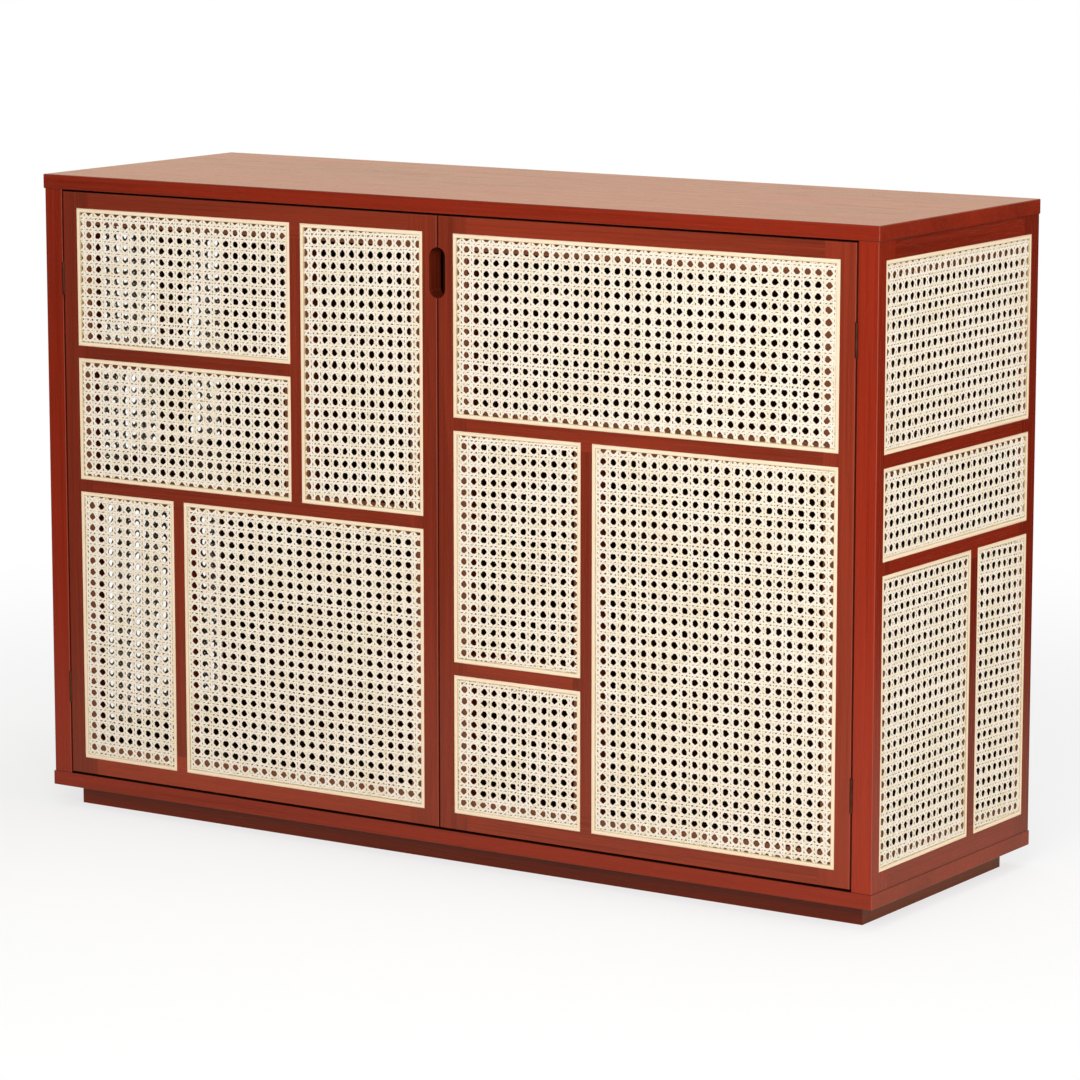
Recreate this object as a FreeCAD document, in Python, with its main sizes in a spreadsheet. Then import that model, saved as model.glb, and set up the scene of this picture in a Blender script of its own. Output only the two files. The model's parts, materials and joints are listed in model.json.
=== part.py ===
# Sideboard with two cane-panelled doors between cane-panelled sides, on a recessed plinth.
# Millimetres: X runs to the right, Y to the back, Z up. The origin is on the floor under the middle.
import FreeCAD, Part
import os
import re

SIZES = {
    # The case: both boards, the height between them and the plinth under them.
    "width": 1200,
    "depth": 390,
    "case_height": 748,
    "board": 18,
    "overhang": 1.5,
    "plinth_height": 26,
    "plinth_setback": 25,
    "plinth_thickness": 18,
    "ease": 1.2,
    # The framed sides and doors: thickness and the width of wood that shows beside the cane.
    "side_thickness": 26.4,
    "door_thickness": 24,
    "gap": 2.3,
    "stile_face": 20.5,
    "rail_face": 20,
    "post_side_face": 17.5,
    "bar_face": 15,
    # Centre lines of the bars, above the base board, from the middle and behind the front.
    "low_line": 200.5,
    "middle_line": 374.5,
    "high_line": 497.5,
    "top_line": 544.5,
    "upper_muntin_line": 210.5,
    "lower_muntin_line": 393.5,
    "side_muntin_line": 239,
    "left_low_muntin_line": 258,
    # The routed bed of the cane, wider on the outer members than on the bars, the cane and the spline at its edge.
    "ledge": 20,
    "bar_ledge": 10.5,
    "seat_depth": 2.6,
    "groove_depth": 8,
    "spline_width": 5.5,
    "spline_sink": 0.3,
    "spline_foot": 0.3,
    "cane_thickness": 2.4,
    "cane_lip": 1,
    # A plain grid of openings stands for the weave's far finer holes.
    "opening_pitch": 40,
    "opening_side": 19,
    # Mortise and tenon joints.
    "tenon_setback": 11,
    "tenon_thickness": 8,
    "tenon_length": 14,
    "tenon_shoulder": 6,
    "joint_fit": 0.1,
    "mortise_bottom": 1,
    # The finger pull across the meeting stiles.
    "pull_width": 23,
    "pull_height": 61,
    "pull_drop": 68.5,
    # Inside the case.
    "partition_thickness": 18,
    "stop_gap": 2,
    "back_thickness": 6,
    "back_inset": 3,
    "rebate_width": 8,
    "back_fit": 0.5,
    "shelf_thickness": 16,
    "shelf_rise": 372,
    "shelf_setback": 40,
    "shelf_fit": 1.5,
    "shelf_pin_radius": 2.5,
    "shelf_pin_reach": 10,
    "shelf_pin_rest": 8,
    "shelf_pin_inset": 40,
    # Dowels of the case and the plinth.
    "dowel_radius": 4,
    "dowel_reach": 12,
    "dowel_bottom": 1,
    "post_dowel_inset": 9,
    "partition_dowel_line": 100,
    "plinth_dowel_line": 450,
    "plinth_end_dowel_line": 80,
    # Butt hinges, in the gap between post and door.
    "hinge_inset": 110,
    "hinge_length": 40,
    "hinge_setback": 0.7,
    "knuckle_radius": 2,
    "knuckle_gap": 0.3,
    "hinge_pin_radius": 0.9,
    "hinge_pin_fit": 0.05,
    "leaf_thickness": 1,
    "leaf_width": 18,
    "leaf_screw_setback": 11,
    "leaf_screw_spread": 12,
    # Countersunk wood screws of the hinges and the back panel.
    "screw_radius": 1.5,
    "screw_head_radius": 2.5,
    "screw_head_height": 1,
    "screw_length": 14,
    "screw_fit": 0.05,
    "back_screw_inset": 60,
    # Magnetic catches under the top board and their strikes on the doors.
    "catch_offset": 30,
    "catch_length": 46,
    "catch_depth": 14,
    "catch_height": 12,
    "catch_fit": 0.3,
    "strike_length": 34,
    "strike_height": 9,
    "strike_thickness": 1,
    "strike_drop": 2,
}

doc = FreeCAD.newDocument("sideboard")
sheet = doc.addObject("Spreadsheet::Sheet", "sizes")
for row, (alias, size) in enumerate(SIZES.items(), 1):
    sheet.set(f"A{row}", alias)
    sheet.set(f"B{row}", str(size))
    sheet.setAlias(f"B{row}", alias)
doc.recompute()

WORD = re.compile(r"[a-z_]+")

# Planes of the object, as expressions of the sheet's sizes.
SIDE_FACE = "(width / 2 - overhang)"
FRONT = "(overhang - depth / 2)"
REAR = "(depth / 2)"
BASE_TOP = "(plinth_height + board)"
CASE_TOP = f"({BASE_TOP} + case_height)"
POST_INNER = f"({SIDE_FACE} - side_thickness)"
DOOR_EDGE = f"({POST_INNER} - gap)"
DOOR_BACK = f"({FRONT} + door_thickness)"
MEETING_EDGE = "(gap / 2)"
DOOR_LOW = f"({BASE_TOP} + gap)"
DOOR_HIGH = f"({CASE_TOP} - gap)"
CELL_LOW = f"({DOOR_LOW} + rail_face)"
CELL_HIGH = f"({DOOR_HIGH} - rail_face)"
BACK_FRONT = f"({REAR} - back_inset - back_thickness)"
SHELF_LOW = f"({BASE_TOP} + shelf_rise)"
SHELF_FRONT = f"({DOOR_BACK} + shelf_setback)"
SHELF_REAR = f"({BACK_FRONT} - shelf_fit)"
LOW_LINE = f"({BASE_TOP} + low_line)"
MIDDLE_LINE = f"({BASE_TOP} + middle_line)"
HIGH_LINE = f"({BASE_TOP} + high_line)"
TOP_LINE = f"({BASE_TOP} + top_line)"
HINGE_AXIS_X = f"({POST_INNER} - gap / 2)"
HINGE_AXIS_Y = f"({FRONT} + hinge_setback)"
HINGE_HEIGHTS = {"lower": f"({DOOR_LOW} + hinge_inset)", "upper": f"({DOOR_HIGH} - hinge_inset)"}
PULL_LINE = f"({DOOR_HIGH} - pull_drop)"
SIDES = {"left": -1, "right": 1}
MOST_OPENINGS = 12

HALF_BAR = "(bar_face / 2)"
HALF_SLAB = "(bar_face / 2 + bar_ledge)"
AXIS_TURNS = {
    "x": FreeCAD.Rotation(FreeCAD.Vector(0, 1, 0), 90),
    "y": FreeCAD.Rotation(FreeCAD.Vector(1, 0, 0), -90),
    "z": FreeCAD.Rotation(),
}
sub_parts = []


def cell_text(text):
    """The expression with each size's name written as its cell of the sheet."""
    return WORD.sub(lambda word: f"sizes.{word[0]}" if word[0] in SIZES else word[0], text)


def number(text):
    """The value of an expression of the sheet's sizes."""
    return float(sheet.evalExpression(cell_text(text)))


def place(item, x, y, z):
    """Ties an object's position to three expressions."""
    for axis, text in zip("xyz", (x, y, z)):
        item.setExpression(f"Placement.Base.{axis}", cell_text(text))
    return item


def block(name, x, y, z):
    """A box between a low and a high expression along each axis."""
    item = doc.addObject("Part::Box", name)
    for side, (low, high) in zip(("Length", "Width", "Height"), (x, y, z)):
        item.setExpression(side, cell_text(f"({high}) - ({low})"))
    return place(item, x[0], y[0], z[0])


def rod(name, radius, start, axis, length):
    """A cylinder of a length along an axis, from the middle of its first end."""
    item = doc.addObject("Part::Cylinder", name)
    item.setExpression("Radius", cell_text(radius))
    item.setExpression("Height", cell_text(length))
    item.Placement.Rotation = AXIS_TURNS[axis]
    return place(item, *start)


def taper(name, first_radius, last_radius, start, axis, length):
    """A cone of a length along an axis, from the middle of its first end."""
    item = doc.addObject("Part::Cone", name)
    item.setExpression("Radius1", cell_text(first_radius))
    item.setExpression("Radius2", cell_text(last_radius))
    item.setExpression("Height", cell_text(length))
    item.Placement.Rotation = AXIS_TURNS[axis]
    return place(item, *start)


def fuse(name, items):
    """One solid of several that meet, or the single one itself."""
    if len(items) == 1:
        return items[0]
    item = doc.addObject("Part::MultiFuse", name)
    item.Shapes = items
    item.Refine = True
    return item


def group(name, items):
    """Several separate solids as one object."""
    item = doc.addObject("Part::Compound", name)
    item.Links = items
    return item


def cut(name, base, tools):
    """A solid less the tools, which don't overlap one another."""
    if not tools:
        return base
    item = doc.addObject("Part::Cut", name)
    item.Base = base
    item.Tool = tools[0] if len(tools) == 1 else group(f"{name}_tools", tools)
    item.Refine = True
    return item


def eased(name, base, edges):
    """A box with some edges rounded: an edge is the signs of its middle, seen from the box's middle."""
    base.recompute()
    bounds = base.Shape.BoundBox
    spans = (bounds.XLength, bounds.YLength, bounds.ZLength)
    radius = number("ease")
    item = doc.addObject("Part::Fillet", name)
    item.Base = base
    picked = []
    for index, edge in enumerate(base.Shape.Edges, 1):
        offset = edge.CenterOfMass - bounds.Center
        if tuple(round(2 * o / s) for o, s in zip(offset, spans)) in edges:
            picked.append((index, radius, radius))
    item.Edges = picked
    return item


def hand_in(label, item):
    """Names a finished sub-part and keeps it for writing."""
    item.Label = label
    sub_parts.append(item)


def minus(text):
    """The expression's negative."""
    return f"(-{text})"


def mirrored(span, side):
    """A span along X, turned over for the left side."""
    return span if side > 0 else (minus(span[1]), minus(span[0]))


def at_side(text, side):
    """An X position, turned over for the left side."""
    return text if side > 0 else minus(text)


class Frame:
    """A flat frame of slabs with routed cells: across is X on a door and Y on a side."""

    def __init__(self, name, thickness, wall=0):
        self.name = name
        self.thickness = thickness
        self.wall = wall
        self.cells = {}
        self.slabs = {}
        self.edges = {}
        self.tenons = []
        self.extra_cuts = {}

    def block(self, name, across, inward, up):
        """A box from its spans across the frame, inward from its face, and up."""
        if self.wall == 0:
            inward = tuple(f"({FRONT} + {text})" for text in inward)
            return block(name, across, inward, up)
        outward = (f"({SIDE_FACE} - {inward[1]})", f"({SIDE_FACE} - {inward[0]})")
        return block(name, mirrored(outward, self.wall), across, up)

    def cell(self, name, across, up):
        """Adds a cell by the edges of the wood that show around it."""
        self.cells[name] = (across, up)

    def slab(self, name, across, up, edges=()):
        """Adds a stile, rail or bar by its outline, with the edges that are eased."""
        self.slabs[name] = (across, up)
        self.edges[name] = edges

    def joint(self, rail, end, host):
        """Adds a tenon on a slab's end: its low or high end across, or up."""
        self.tenons.append((rail, end, host))

    def tenon(self, name, rail, end, play, bottom):
        """A tenon, or with its play and bottom clearance the mortise around it."""
        across, up = self.slabs[rail]
        inward = (f"(tenon_setback - {play})", f"(tenon_setback + tenon_thickness + {play})")
        spans = {"across": across, "up": up}
        along, which = end.split()
        side = "up" if along == "across" else "across"
        low, high = spans[side]
        spans[side] = (f"({low} + tenon_shoulder - {play})", f"({high} - tenon_shoulder + {play})")
        low, high = spans[along]
        reach = f"(tenon_length + {bottom})"
        spans[along] = (f"({low} - {reach})", low) if which == "low" else (high, f"({high} + {reach})")
        return self.block(name, spans["across"], inward, spans["up"])

    def routed_cell(self, name):
        """The seat of a cell's cane with the deeper groove around it."""
        across, up = self.cells[name]
        groove = "(spline_width + cane_lip)"
        whole = self.block(f"{self.name}_{name}_groove", across, ("0", "groove_depth"), up)
        core = self.block(
            f"{self.name}_{name}_core",
            inset(across, groove), ("seat_depth", "groove_depth"), inset(up, groove))
        return cut(f"{self.name}_{name}_bed", whole, [core])

    def build_slabs(self):
        """Cuts every slab's joints and the beds of the cane."""
        beds = [self.routed_cell(name) for name in self.cells]
        for name, (across, up) in self.slabs.items():
            label = f"{self.name}_{name}"
            slab = self.block(f"{label}_slab", across, ("0", self.thickness), up)
            if self.edges[name]:
                slab = eased(f"{label}_eased", slab, self.edges[name])
            solids = [slab]
            mortises = []
            for rail, end, host in self.tenons:
                word = end.replace(" ", "_")
                if rail == name:
                    solids.append(self.tenon(f"{label}_{word}_tenon", rail, end, "0", "0"))
                if host == name:
                    mortises.append(self.tenon(
                        f"{label}_{rail}_{word}_mortise", rail, end, "joint_fit", "mortise_bottom"))
            blank = fuse(f"{label}_blank", solids)
            routed = cut(f"{label}_routed", blank, beds)
            hand_in(label, cut(label, routed, mortises + self.extra_cuts.get(name, [])))

    def openings(self, label, across, up, inward):
        """A grid of square openings, evenly spaced over a span across and a span up."""
        lines = []
        for low, high in (across, up):
            count = min(round(number(f"({high} - {low}) / opening_pitch")), MOST_OPENINGS)
            steps = [f"(({high} - {low}) * {2 * index + 1} / {2 * count})" for index in range(count)]
            lines.append([around(f"({low} + {step})", "(opening_side / 2)") for step in steps])
        return [
            self.block(f"{label}_opening_{column}_{row}", right, inward, rise)
            for column, right in enumerate(lines[0], 1) for row, rise in enumerate(lines[1], 1)]

    def build_cane(self):
        """The cane sheets, with their edges turned into the grooves, and the splines over those edges."""
        sheets = []
        splines = []
        for name, (across, up) in self.cells.items():
            label = f"{self.name}_{name}"
            inner_lip = "(spline_width + cane_lip)"
            sheet_top = "(seat_depth - cane_thickness)"
            lip_end = "(groove_depth - spline_foot)"
            whole = self.block(
                f"{label}_sheet_block",
                inset(across, "spline_width"), (sheet_top, lip_end), inset(up, "spline_width"))
            under = self.block(
                f"{label}_sheet_under",
                inset(across, inner_lip), ("seat_depth", lip_end), inset(up, inner_lip))
            tray = cut(f"{label}_tray", whole, [under])
            grid = self.openings(label, inset(across, "ledge"), inset(up, "ledge"), (sheet_top, "seat_depth"))
            sheets.append(cut(f"{label}_sheet", tray, grid))
            ring = self.block(f"{label}_spline_block", across, ("spline_sink", lip_end), up)
            hole = self.block(
                f"{label}_spline_hole",
                inset(across, "spline_width"), ("spline_sink", lip_end), inset(up, "spline_width"))
            splines.append(cut(f"{label}_spline", ring, [hole]))
        hand_in(f"{self.name}_cane", group(f"{self.name}_cane", sheets))
        hand_in(f"{self.name}_splines", group(f"{self.name}_splines", splines))


def inset(span, distance):
    """A span drawn in by a distance at both ends."""
    return f"({span[0]} + {distance})", f"({span[1]} - {distance})"


def around(line, half):
    """The span of a bar about its centre line."""
    return f"({line} - {half})", f"({line} + {half})"


def between_bars(low_line, high_line):
    """The span between two bars that stand on their centre lines."""
    return f"({low_line} + {HALF_BAR})", f"({high_line} - {HALF_BAR})"


def dowel_places():
    """Where dowels stand: the expressions of X, Y and the joint's height, and the two pieces it joins."""
    places = []
    for side, sign in SIDES.items():
        x = at_side(f"({SIDE_FACE} - side_thickness / 2)", sign)
        rows = {"front_post": f"({FRONT} + post_dowel_inset)", "rear_post": f"({REAR} - post_dowel_inset)"}
        for post, y in rows.items():
            places.append((x, y, BASE_TOP, "base_board", f"{side}_side_{post}"))
            places.append((x, y, CASE_TOP, f"{side}_side_{post}", "top_board"))
    for y in ("(-partition_dowel_line)", "partition_dowel_line"):
        places.append(("0", y, BASE_TOP, "base_board", "centre_partition"))
        places.append(("0", y, CASE_TOP, "centre_partition", "top_board"))
    front_y = f"({FRONT} + plinth_setback + plinth_thickness / 2)"
    back_y = f"({REAR} - plinth_setback - plinth_thickness / 2)"
    for x in ("(-plinth_dowel_line)", "0", "plinth_dowel_line"):
        places.append((x, front_y, "plinth_height", "plinth_front", "base_board"))
        places.append((x, back_y, "plinth_height", "plinth_back", "base_board"))
    for side, sign in SIDES.items():
        x = at_side(f"({SIDE_FACE} - plinth_setback - plinth_thickness / 2)", sign)
        for y in ("(-plinth_end_dowel_line)", "plinth_end_dowel_line"):
            places.append((x, y, "plinth_height", f"plinth_{side}", "base_board"))
    return places


def build_dowels():
    """The dowels, and for each piece that they join the holes that they need."""
    dowels = []
    holes = {}
    hole_reach = "(dowel_reach + dowel_bottom)"
    for index, (x, y, level, below, above) in enumerate(dowel_places(), 1):
        start = (x, y, f"({level} - dowel_reach)")
        dowels.append(rod(f"dowel_{index}", "dowel_radius", start, "z", "2 * dowel_reach"))
        for piece, low in ((below, f"({level} - {hole_reach})"), (above, level)):
            hole = rod(f"dowel_hole_{index}_{piece}", "dowel_radius", (x, y, low), "z", hole_reach)
            holes.setdefault(piece, []).append(hole)
    hand_in("carcass_dowels", group("carcass_dowels", dowels))
    return holes


def screw(name, x, y, z, axis, forward, fit="0"):
    """A countersunk screw along an axis, from the outside of its head, or with a fit the hole around it."""
    def along(distance):
        move = f" + {distance}" if forward else f" - {distance}"
        return (f"({x}{move})", y, z) if axis == "x" else (x, f"({y}{move})", z)

    radii = (f"(screw_head_radius + {fit})", f"(screw_radius + {fit})")
    reach = f"(screw_length + {fit})"
    head_start = (x, y, z) if forward else along("screw_head_height")
    shank_start = along("screw_head_height") if forward else along(reach)
    cone = radii if forward else radii[::-1]
    return fuse(name, [
        taper(f"{name}_head", *cone, head_start, axis, "screw_head_height"),
        rod(f"{name}_shank", radii[1], shank_start, axis, f"({reach} - screw_head_height)")])


def screw_hole(name, *where):
    """The countersunk hole of a screw, with its clearance all round."""
    return screw(name, *where, fit="screw_fit")


def knuckle(name, radius, x, low, high):
    """A cylinder about a hinge's axis between two heights."""
    return rod(name, radius, (x, HINGE_AXIS_Y, low), "z", f"(({high}) - ({low}))")


def build_hinges(holes):
    """Leaves, pins and screws of the four butt hinges; adds the cuts that they need in posts and stiles."""
    post_leaves = []
    post_screws = []
    pins = []
    bore_radius = "(hinge_pin_radius + hinge_pin_fit)"
    clear_radius = "(knuckle_radius + knuckle_gap)"
    for side, sign in SIDES.items():
        axis_x = at_side(HINGE_AXIS_X, sign)
        post = f"{side}_side_front_post"
        stile = f"{side}_door_hinge_stile"
        door_leaves = []
        door_screws = []
        for level, middle in HINGE_HEIGHTS.items():
            name = f"{side}_{level}_hinge"
            low = f"({middle} - hinge_length / 2)"
            high = f"({middle} + hinge_length / 2)"
            door_low = f"({middle} - hinge_length / 6)"
            door_high = f"({middle} + hinge_length / 6)"
            thirds = ((low, door_low), (door_high, high))
            leaf_back = f"({HINGE_AXIS_Y} + leaf_width)"
            pins.append(knuckle(f"{name}_pin", "hinge_pin_radius", axis_x, low, high))
            for piece in (post, stile):
                relief = knuckle(
                    f"{name}_{piece}_relief", clear_radius, axis_x,
                    f"({low} - knuckle_gap)", f"({high} + knuckle_gap)")
                holes.setdefault(piece, []).append(relief)
            # The post's leaf carries the outer knuckles, the door's leaf the middle one.
            plate = block(
                f"{name}_post_plate",
                mirrored((f"({POST_INNER} - leaf_thickness)", POST_INNER), sign),
                (HINGE_AXIS_Y, leaf_back), (low, high))
            room = knuckle(
                f"{name}_post_room", clear_radius, axis_x,
                f"({door_low} - knuckle_gap)", f"({door_high} + knuckle_gap)")
            rolls = [
                knuckle(f"{name}_post_roll_{index}", "knuckle_radius", axis_x, *third)
                for index, third in enumerate(thirds, 1)]
            post_leaf = fuse(f"{name}_post_rolled", [cut(f"{name}_post_notched", plate, [room])] + rolls)
            plate = block(
                f"{name}_door_plate",
                mirrored((DOOR_EDGE, f"({DOOR_EDGE} + leaf_thickness)"), sign),
                (HINGE_AXIS_Y, leaf_back), (low, high))
            rooms = [
                knuckle(f"{name}_door_room_{index}", clear_radius, axis_x, *third)
                for index, third in enumerate(thirds, 1)]
            roll = knuckle(
                f"{name}_door_roll", "knuckle_radius", axis_x,
                f"({door_low} + knuckle_gap)", f"({door_high} - knuckle_gap)")
            door_leaf = fuse(f"{name}_door_rolled", [cut(f"{name}_door_notched", plate, rooms), roll])
            post_cuts = [knuckle(f"{name}_post_bore", bore_radius, axis_x, low, high)]
            door_cuts = [knuckle(f"{name}_door_bore", bore_radius, axis_x, low, high)]
            screw_y = f"({HINGE_AXIS_Y} + leaf_screw_setback)"
            for end, z in (
                    ("low", f"({middle} - leaf_screw_spread)"),
                    ("high", f"({middle} + leaf_screw_spread)")):
                x = at_side(f"({POST_INNER} - leaf_thickness)", sign)
                place_in_post = (x, screw_y, z, "x", sign > 0)
                post_screws.append(screw(f"{name}_post_screw_{end}", *place_in_post))
                post_cuts.append(screw_hole(f"{name}_post_leaf_hole_{end}", *place_in_post))
                holes[post].append(screw_hole(f"{name}_post_hole_{end}", *place_in_post))
                x = at_side(f"({DOOR_EDGE} + leaf_thickness)", sign)
                place_in_door = (x, screw_y, z, "x", sign < 0)
                door_screws.append(screw(f"{name}_door_screw_{end}", *place_in_door))
                door_cuts.append(screw_hole(f"{name}_door_leaf_hole_{end}", *place_in_door))
                holes[stile].append(screw_hole(f"{name}_door_hole_{end}", *place_in_door))
            post_leaves.append(cut(f"{name}_post_leaf", post_leaf, post_cuts))
            door_leaves.append(cut(f"{name}_door_leaf", door_leaf, door_cuts))
        hand_in(f"{side}_door_hinge_leaves", group(f"{side}_door_hinge_leaves", door_leaves))
        hand_in(f"{side}_door_hinge_screws", group(f"{side}_door_hinge_screws", door_screws))
    hand_in("hinge_post_leaves", group("hinge_post_leaves", post_leaves))
    hand_in("post_hinge_screws", group("post_hinge_screws", post_screws))
    hand_in("hinge_pins", group("hinge_pins", pins))


def build_shelves(holes):
    """The two shelves, the pins under them and the pins' holes in the sides and the partition."""
    pins = []
    partition_face = "(partition_thickness / 2)"
    pin_z = f"({SHELF_LOW} - shelf_pin_radius)"
    pin_rows = {
        "front": f"({SHELF_FRONT} + shelf_pin_inset)",
        "rear": f"({SHELF_REAR} - shelf_pin_inset)",
    }
    # A pin in each side carries a shelf's outer end; one right through the partition carries both shelves.
    side_pin = (f"({POST_INNER} - shelf_pin_rest)", f"({POST_INNER} + shelf_pin_reach)")
    middle_pin = around("0", f"({partition_face} + shelf_pin_rest)")
    pin_spans = {"centre_partition": middle_pin}
    for side, sign in SIDES.items():
        pin_spans[f"{side}_side_lower_rail"] = mirrored(side_pin, sign)
        x = mirrored((f"({partition_face} + shelf_fit)", f"({POST_INNER} - shelf_fit)"), sign)
        shelf = block(
            f"{side}_shelf_board", x, (SHELF_FRONT, SHELF_REAR),
            (SHELF_LOW, f"({SHELF_LOW} + shelf_thickness)"))
        front_edges = {(0, -1, -1), (0, -1, 1)}
        hand_in(f"{side}_shelf", eased(f"{side}_shelf", shelf, front_edges))
    for piece, (low, high) in pin_spans.items():
        for end, y in pin_rows.items():
            where = ("shelf_pin_radius", (low, y, pin_z), "x", f"({high} - {low})")
            pins.append(rod(f"{end}_{piece}_pin", *where))
            holes.setdefault(piece, []).append(rod(f"{end}_{piece}_pin_hole", *where))
    hand_in("shelf_pins", group("shelf_pins", pins))


def build_back(holes):
    """The back panel in the posts' rebates, its screws, and the rebates and holes that they need."""
    edge_x = f"({POST_INNER} + rebate_width)"
    panel = block(
        "back_sheet",
        (f"(back_fit - {edge_x})", f"({edge_x} - back_fit)"),
        (BACK_FRONT, f"({REAR} - back_inset)"), (BASE_TOP, CASE_TOP))
    screws = []
    panel_holes = []
    for side, sign in SIDES.items():
        rebate = block(
            f"{side}_rebate", mirrored((POST_INNER, edge_x), sign), (BACK_FRONT, REAR),
            (BASE_TOP, CASE_TOP))
        holes.setdefault(f"{side}_side_rear_post", []).append(rebate)
    columns = {
        "left_side_rear_post": minus(f"({POST_INNER} + rebate_width / 2)"),
        "centre_partition": "0",
        "right_side_rear_post": f"({POST_INNER} + rebate_width / 2)",
    }
    rows = {
        "low": f"({BASE_TOP} + back_screw_inset)",
        "middle": f"({BASE_TOP} + case_height / 2)",
        "high": f"({CASE_TOP} - back_screw_inset)",
    }
    for piece, x in columns.items():
        for row, z in rows.items():
            where = (x, f"({REAR} - back_inset)", z, "y", False)
            screws.append(screw(f"back_screw_{piece}_{row}", *where))
            panel_holes.append(screw_hole(f"back_panel_hole_{piece}_{row}", *where))
            holes.setdefault(piece, []).append(screw_hole(f"back_hole_{piece}_{row}", *where))
    hand_in("back_panel", cut("back_panel", panel, panel_holes))
    hand_in("back_panel_screws", group("back_panel_screws", screws))


def build_boards(holes):
    """The top and base boards, the centre partition and the four plinth rails."""
    all_edges = {(a, b, c) for a in (-1, 0, 1) for b in (-1, 0, 1) for c in (-1, 0, 1)
                 if (a, b, c).count(0) == 1}
    levels = {"base_board": "plinth_height", "top_board": CASE_TOP}
    for name, level in levels.items():
        board = block(
            f"{name}_blank", ("(-width / 2)", "(width / 2)"), ("(-depth / 2)", "(depth / 2)"),
            (level, f"({level} + board)"))
        hand_in(name, cut(name, eased(f"{name}_eased", board, all_edges), holes[name]))
    partition = block(
        "partition_blank", ("(-partition_thickness / 2)", "(partition_thickness / 2)"),
        (f"({DOOR_BACK} + stop_gap)", BACK_FRONT), (BASE_TOP, CASE_TOP))
    hand_in("centre_partition", cut("centre_partition", partition, holes["centre_partition"]))
    outer_x = f"({SIDE_FACE} - plinth_setback)"
    front_y = f"({FRONT} + plinth_setback)"
    back_y = f"({REAR} - plinth_setback)"
    inner_front = f"({front_y} + plinth_thickness)"
    inner_back = f"({back_y} - plinth_thickness)"
    whole = (minus(outer_x), outer_x)
    end = (f"({outer_x} - plinth_thickness)", outer_x)
    rails = {
        "plinth_front": (whole, (front_y, inner_front)),
        "plinth_back": (whole, (inner_back, back_y)),
        "plinth_left": (mirrored(end, SIDES["left"]), (inner_front, inner_back)),
        "plinth_right": (end, (inner_front, inner_back)),
    }
    for name, (x, y) in rails.items():
        rail = block(f"{name}_blank", x, y, ("0", "plinth_height"))
        hand_in(name, cut(name, rail, holes[name]))


def build_catches():
    """A magnetic catch for each door under the top board, with its strike on the door."""
    catches = []
    catch_front = f"({DOOR_BACK} + strike_thickness + catch_fit)"
    strike_high = f"({DOOR_HIGH} - strike_drop)"
    for side, sign in SIDES.items():
        middle = "(catch_offset + catch_length / 2)"
        catches.append(block(
            f"{side}_catch", mirrored(("catch_offset", "(catch_offset + catch_length)"), sign),
            (catch_front, f"({catch_front} + catch_depth)"),
            (f"({CASE_TOP} - catch_height)", CASE_TOP)))
        strike = block(
            f"{side}_strike", mirrored(around(middle, "(strike_length / 2)"), sign),
            (DOOR_BACK, f"({DOOR_BACK} + strike_thickness)"),
            (f"({strike_high} - strike_height)", strike_high))
        hand_in(f"{side}_door_strike", strike)
    hand_in("door_catches", group("door_catches", catches))


def pull_cut(side):
    """The finger pull's slot, with round ends, through both meeting stiles."""
    radius = "(pull_width / 2)"
    straight = "(pull_height / 2 - pull_width / 2)"
    name = f"{side}_pull"
    inward = (FRONT, DOOR_BACK)
    slot = [block(f"{name}_slot", around("0", radius), inward, around(PULL_LINE, straight))]
    for end, z in (("low", f"({PULL_LINE} - {straight})"), ("high", f"({PULL_LINE} + {straight})")):
        slot.append(rod(f"{name}_{end}", radius, ("0", FRONT, z), "y", "door_thickness"))
    return fuse(name, slot)


def door_outline(frame, hinge_side):
    """Adds a door's two stiles and its top and bottom rails; gives the span between its stiles."""
    outer = mirrored((MEETING_EDGE, DOOR_EDGE), hinge_side)
    faces = inset(outer, "stile_face")
    between = inset(faces, "ledge")
    whole = (DOOR_LOW, DOOR_HIGH)
    names = ("meeting_stile", "hinge_stile") if hinge_side > 0 else ("hinge_stile", "meeting_stile")
    frame.slab(names[0], (outer[0], between[0]), whole, {(-1, -1, 0), (0, -1, -1), (0, -1, 1)})
    frame.slab(names[1], (between[1], outer[1]), whole, {(1, -1, 0), (0, -1, -1), (0, -1, 1)})
    frame.slab("top_rail", between, (f"({CELL_HIGH} - ledge)", DOOR_HIGH), {(0, -1, 1)})
    frame.slab("bottom_rail", between, (DOOR_LOW, f"({CELL_LOW} + ledge)"), {(0, -1, -1)})
    for rail in ("top_rail", "bottom_rail"):
        frame.joint(rail, "across low", names[0])
        frame.joint(rail, "across high", names[1])
    return faces, between


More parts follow.
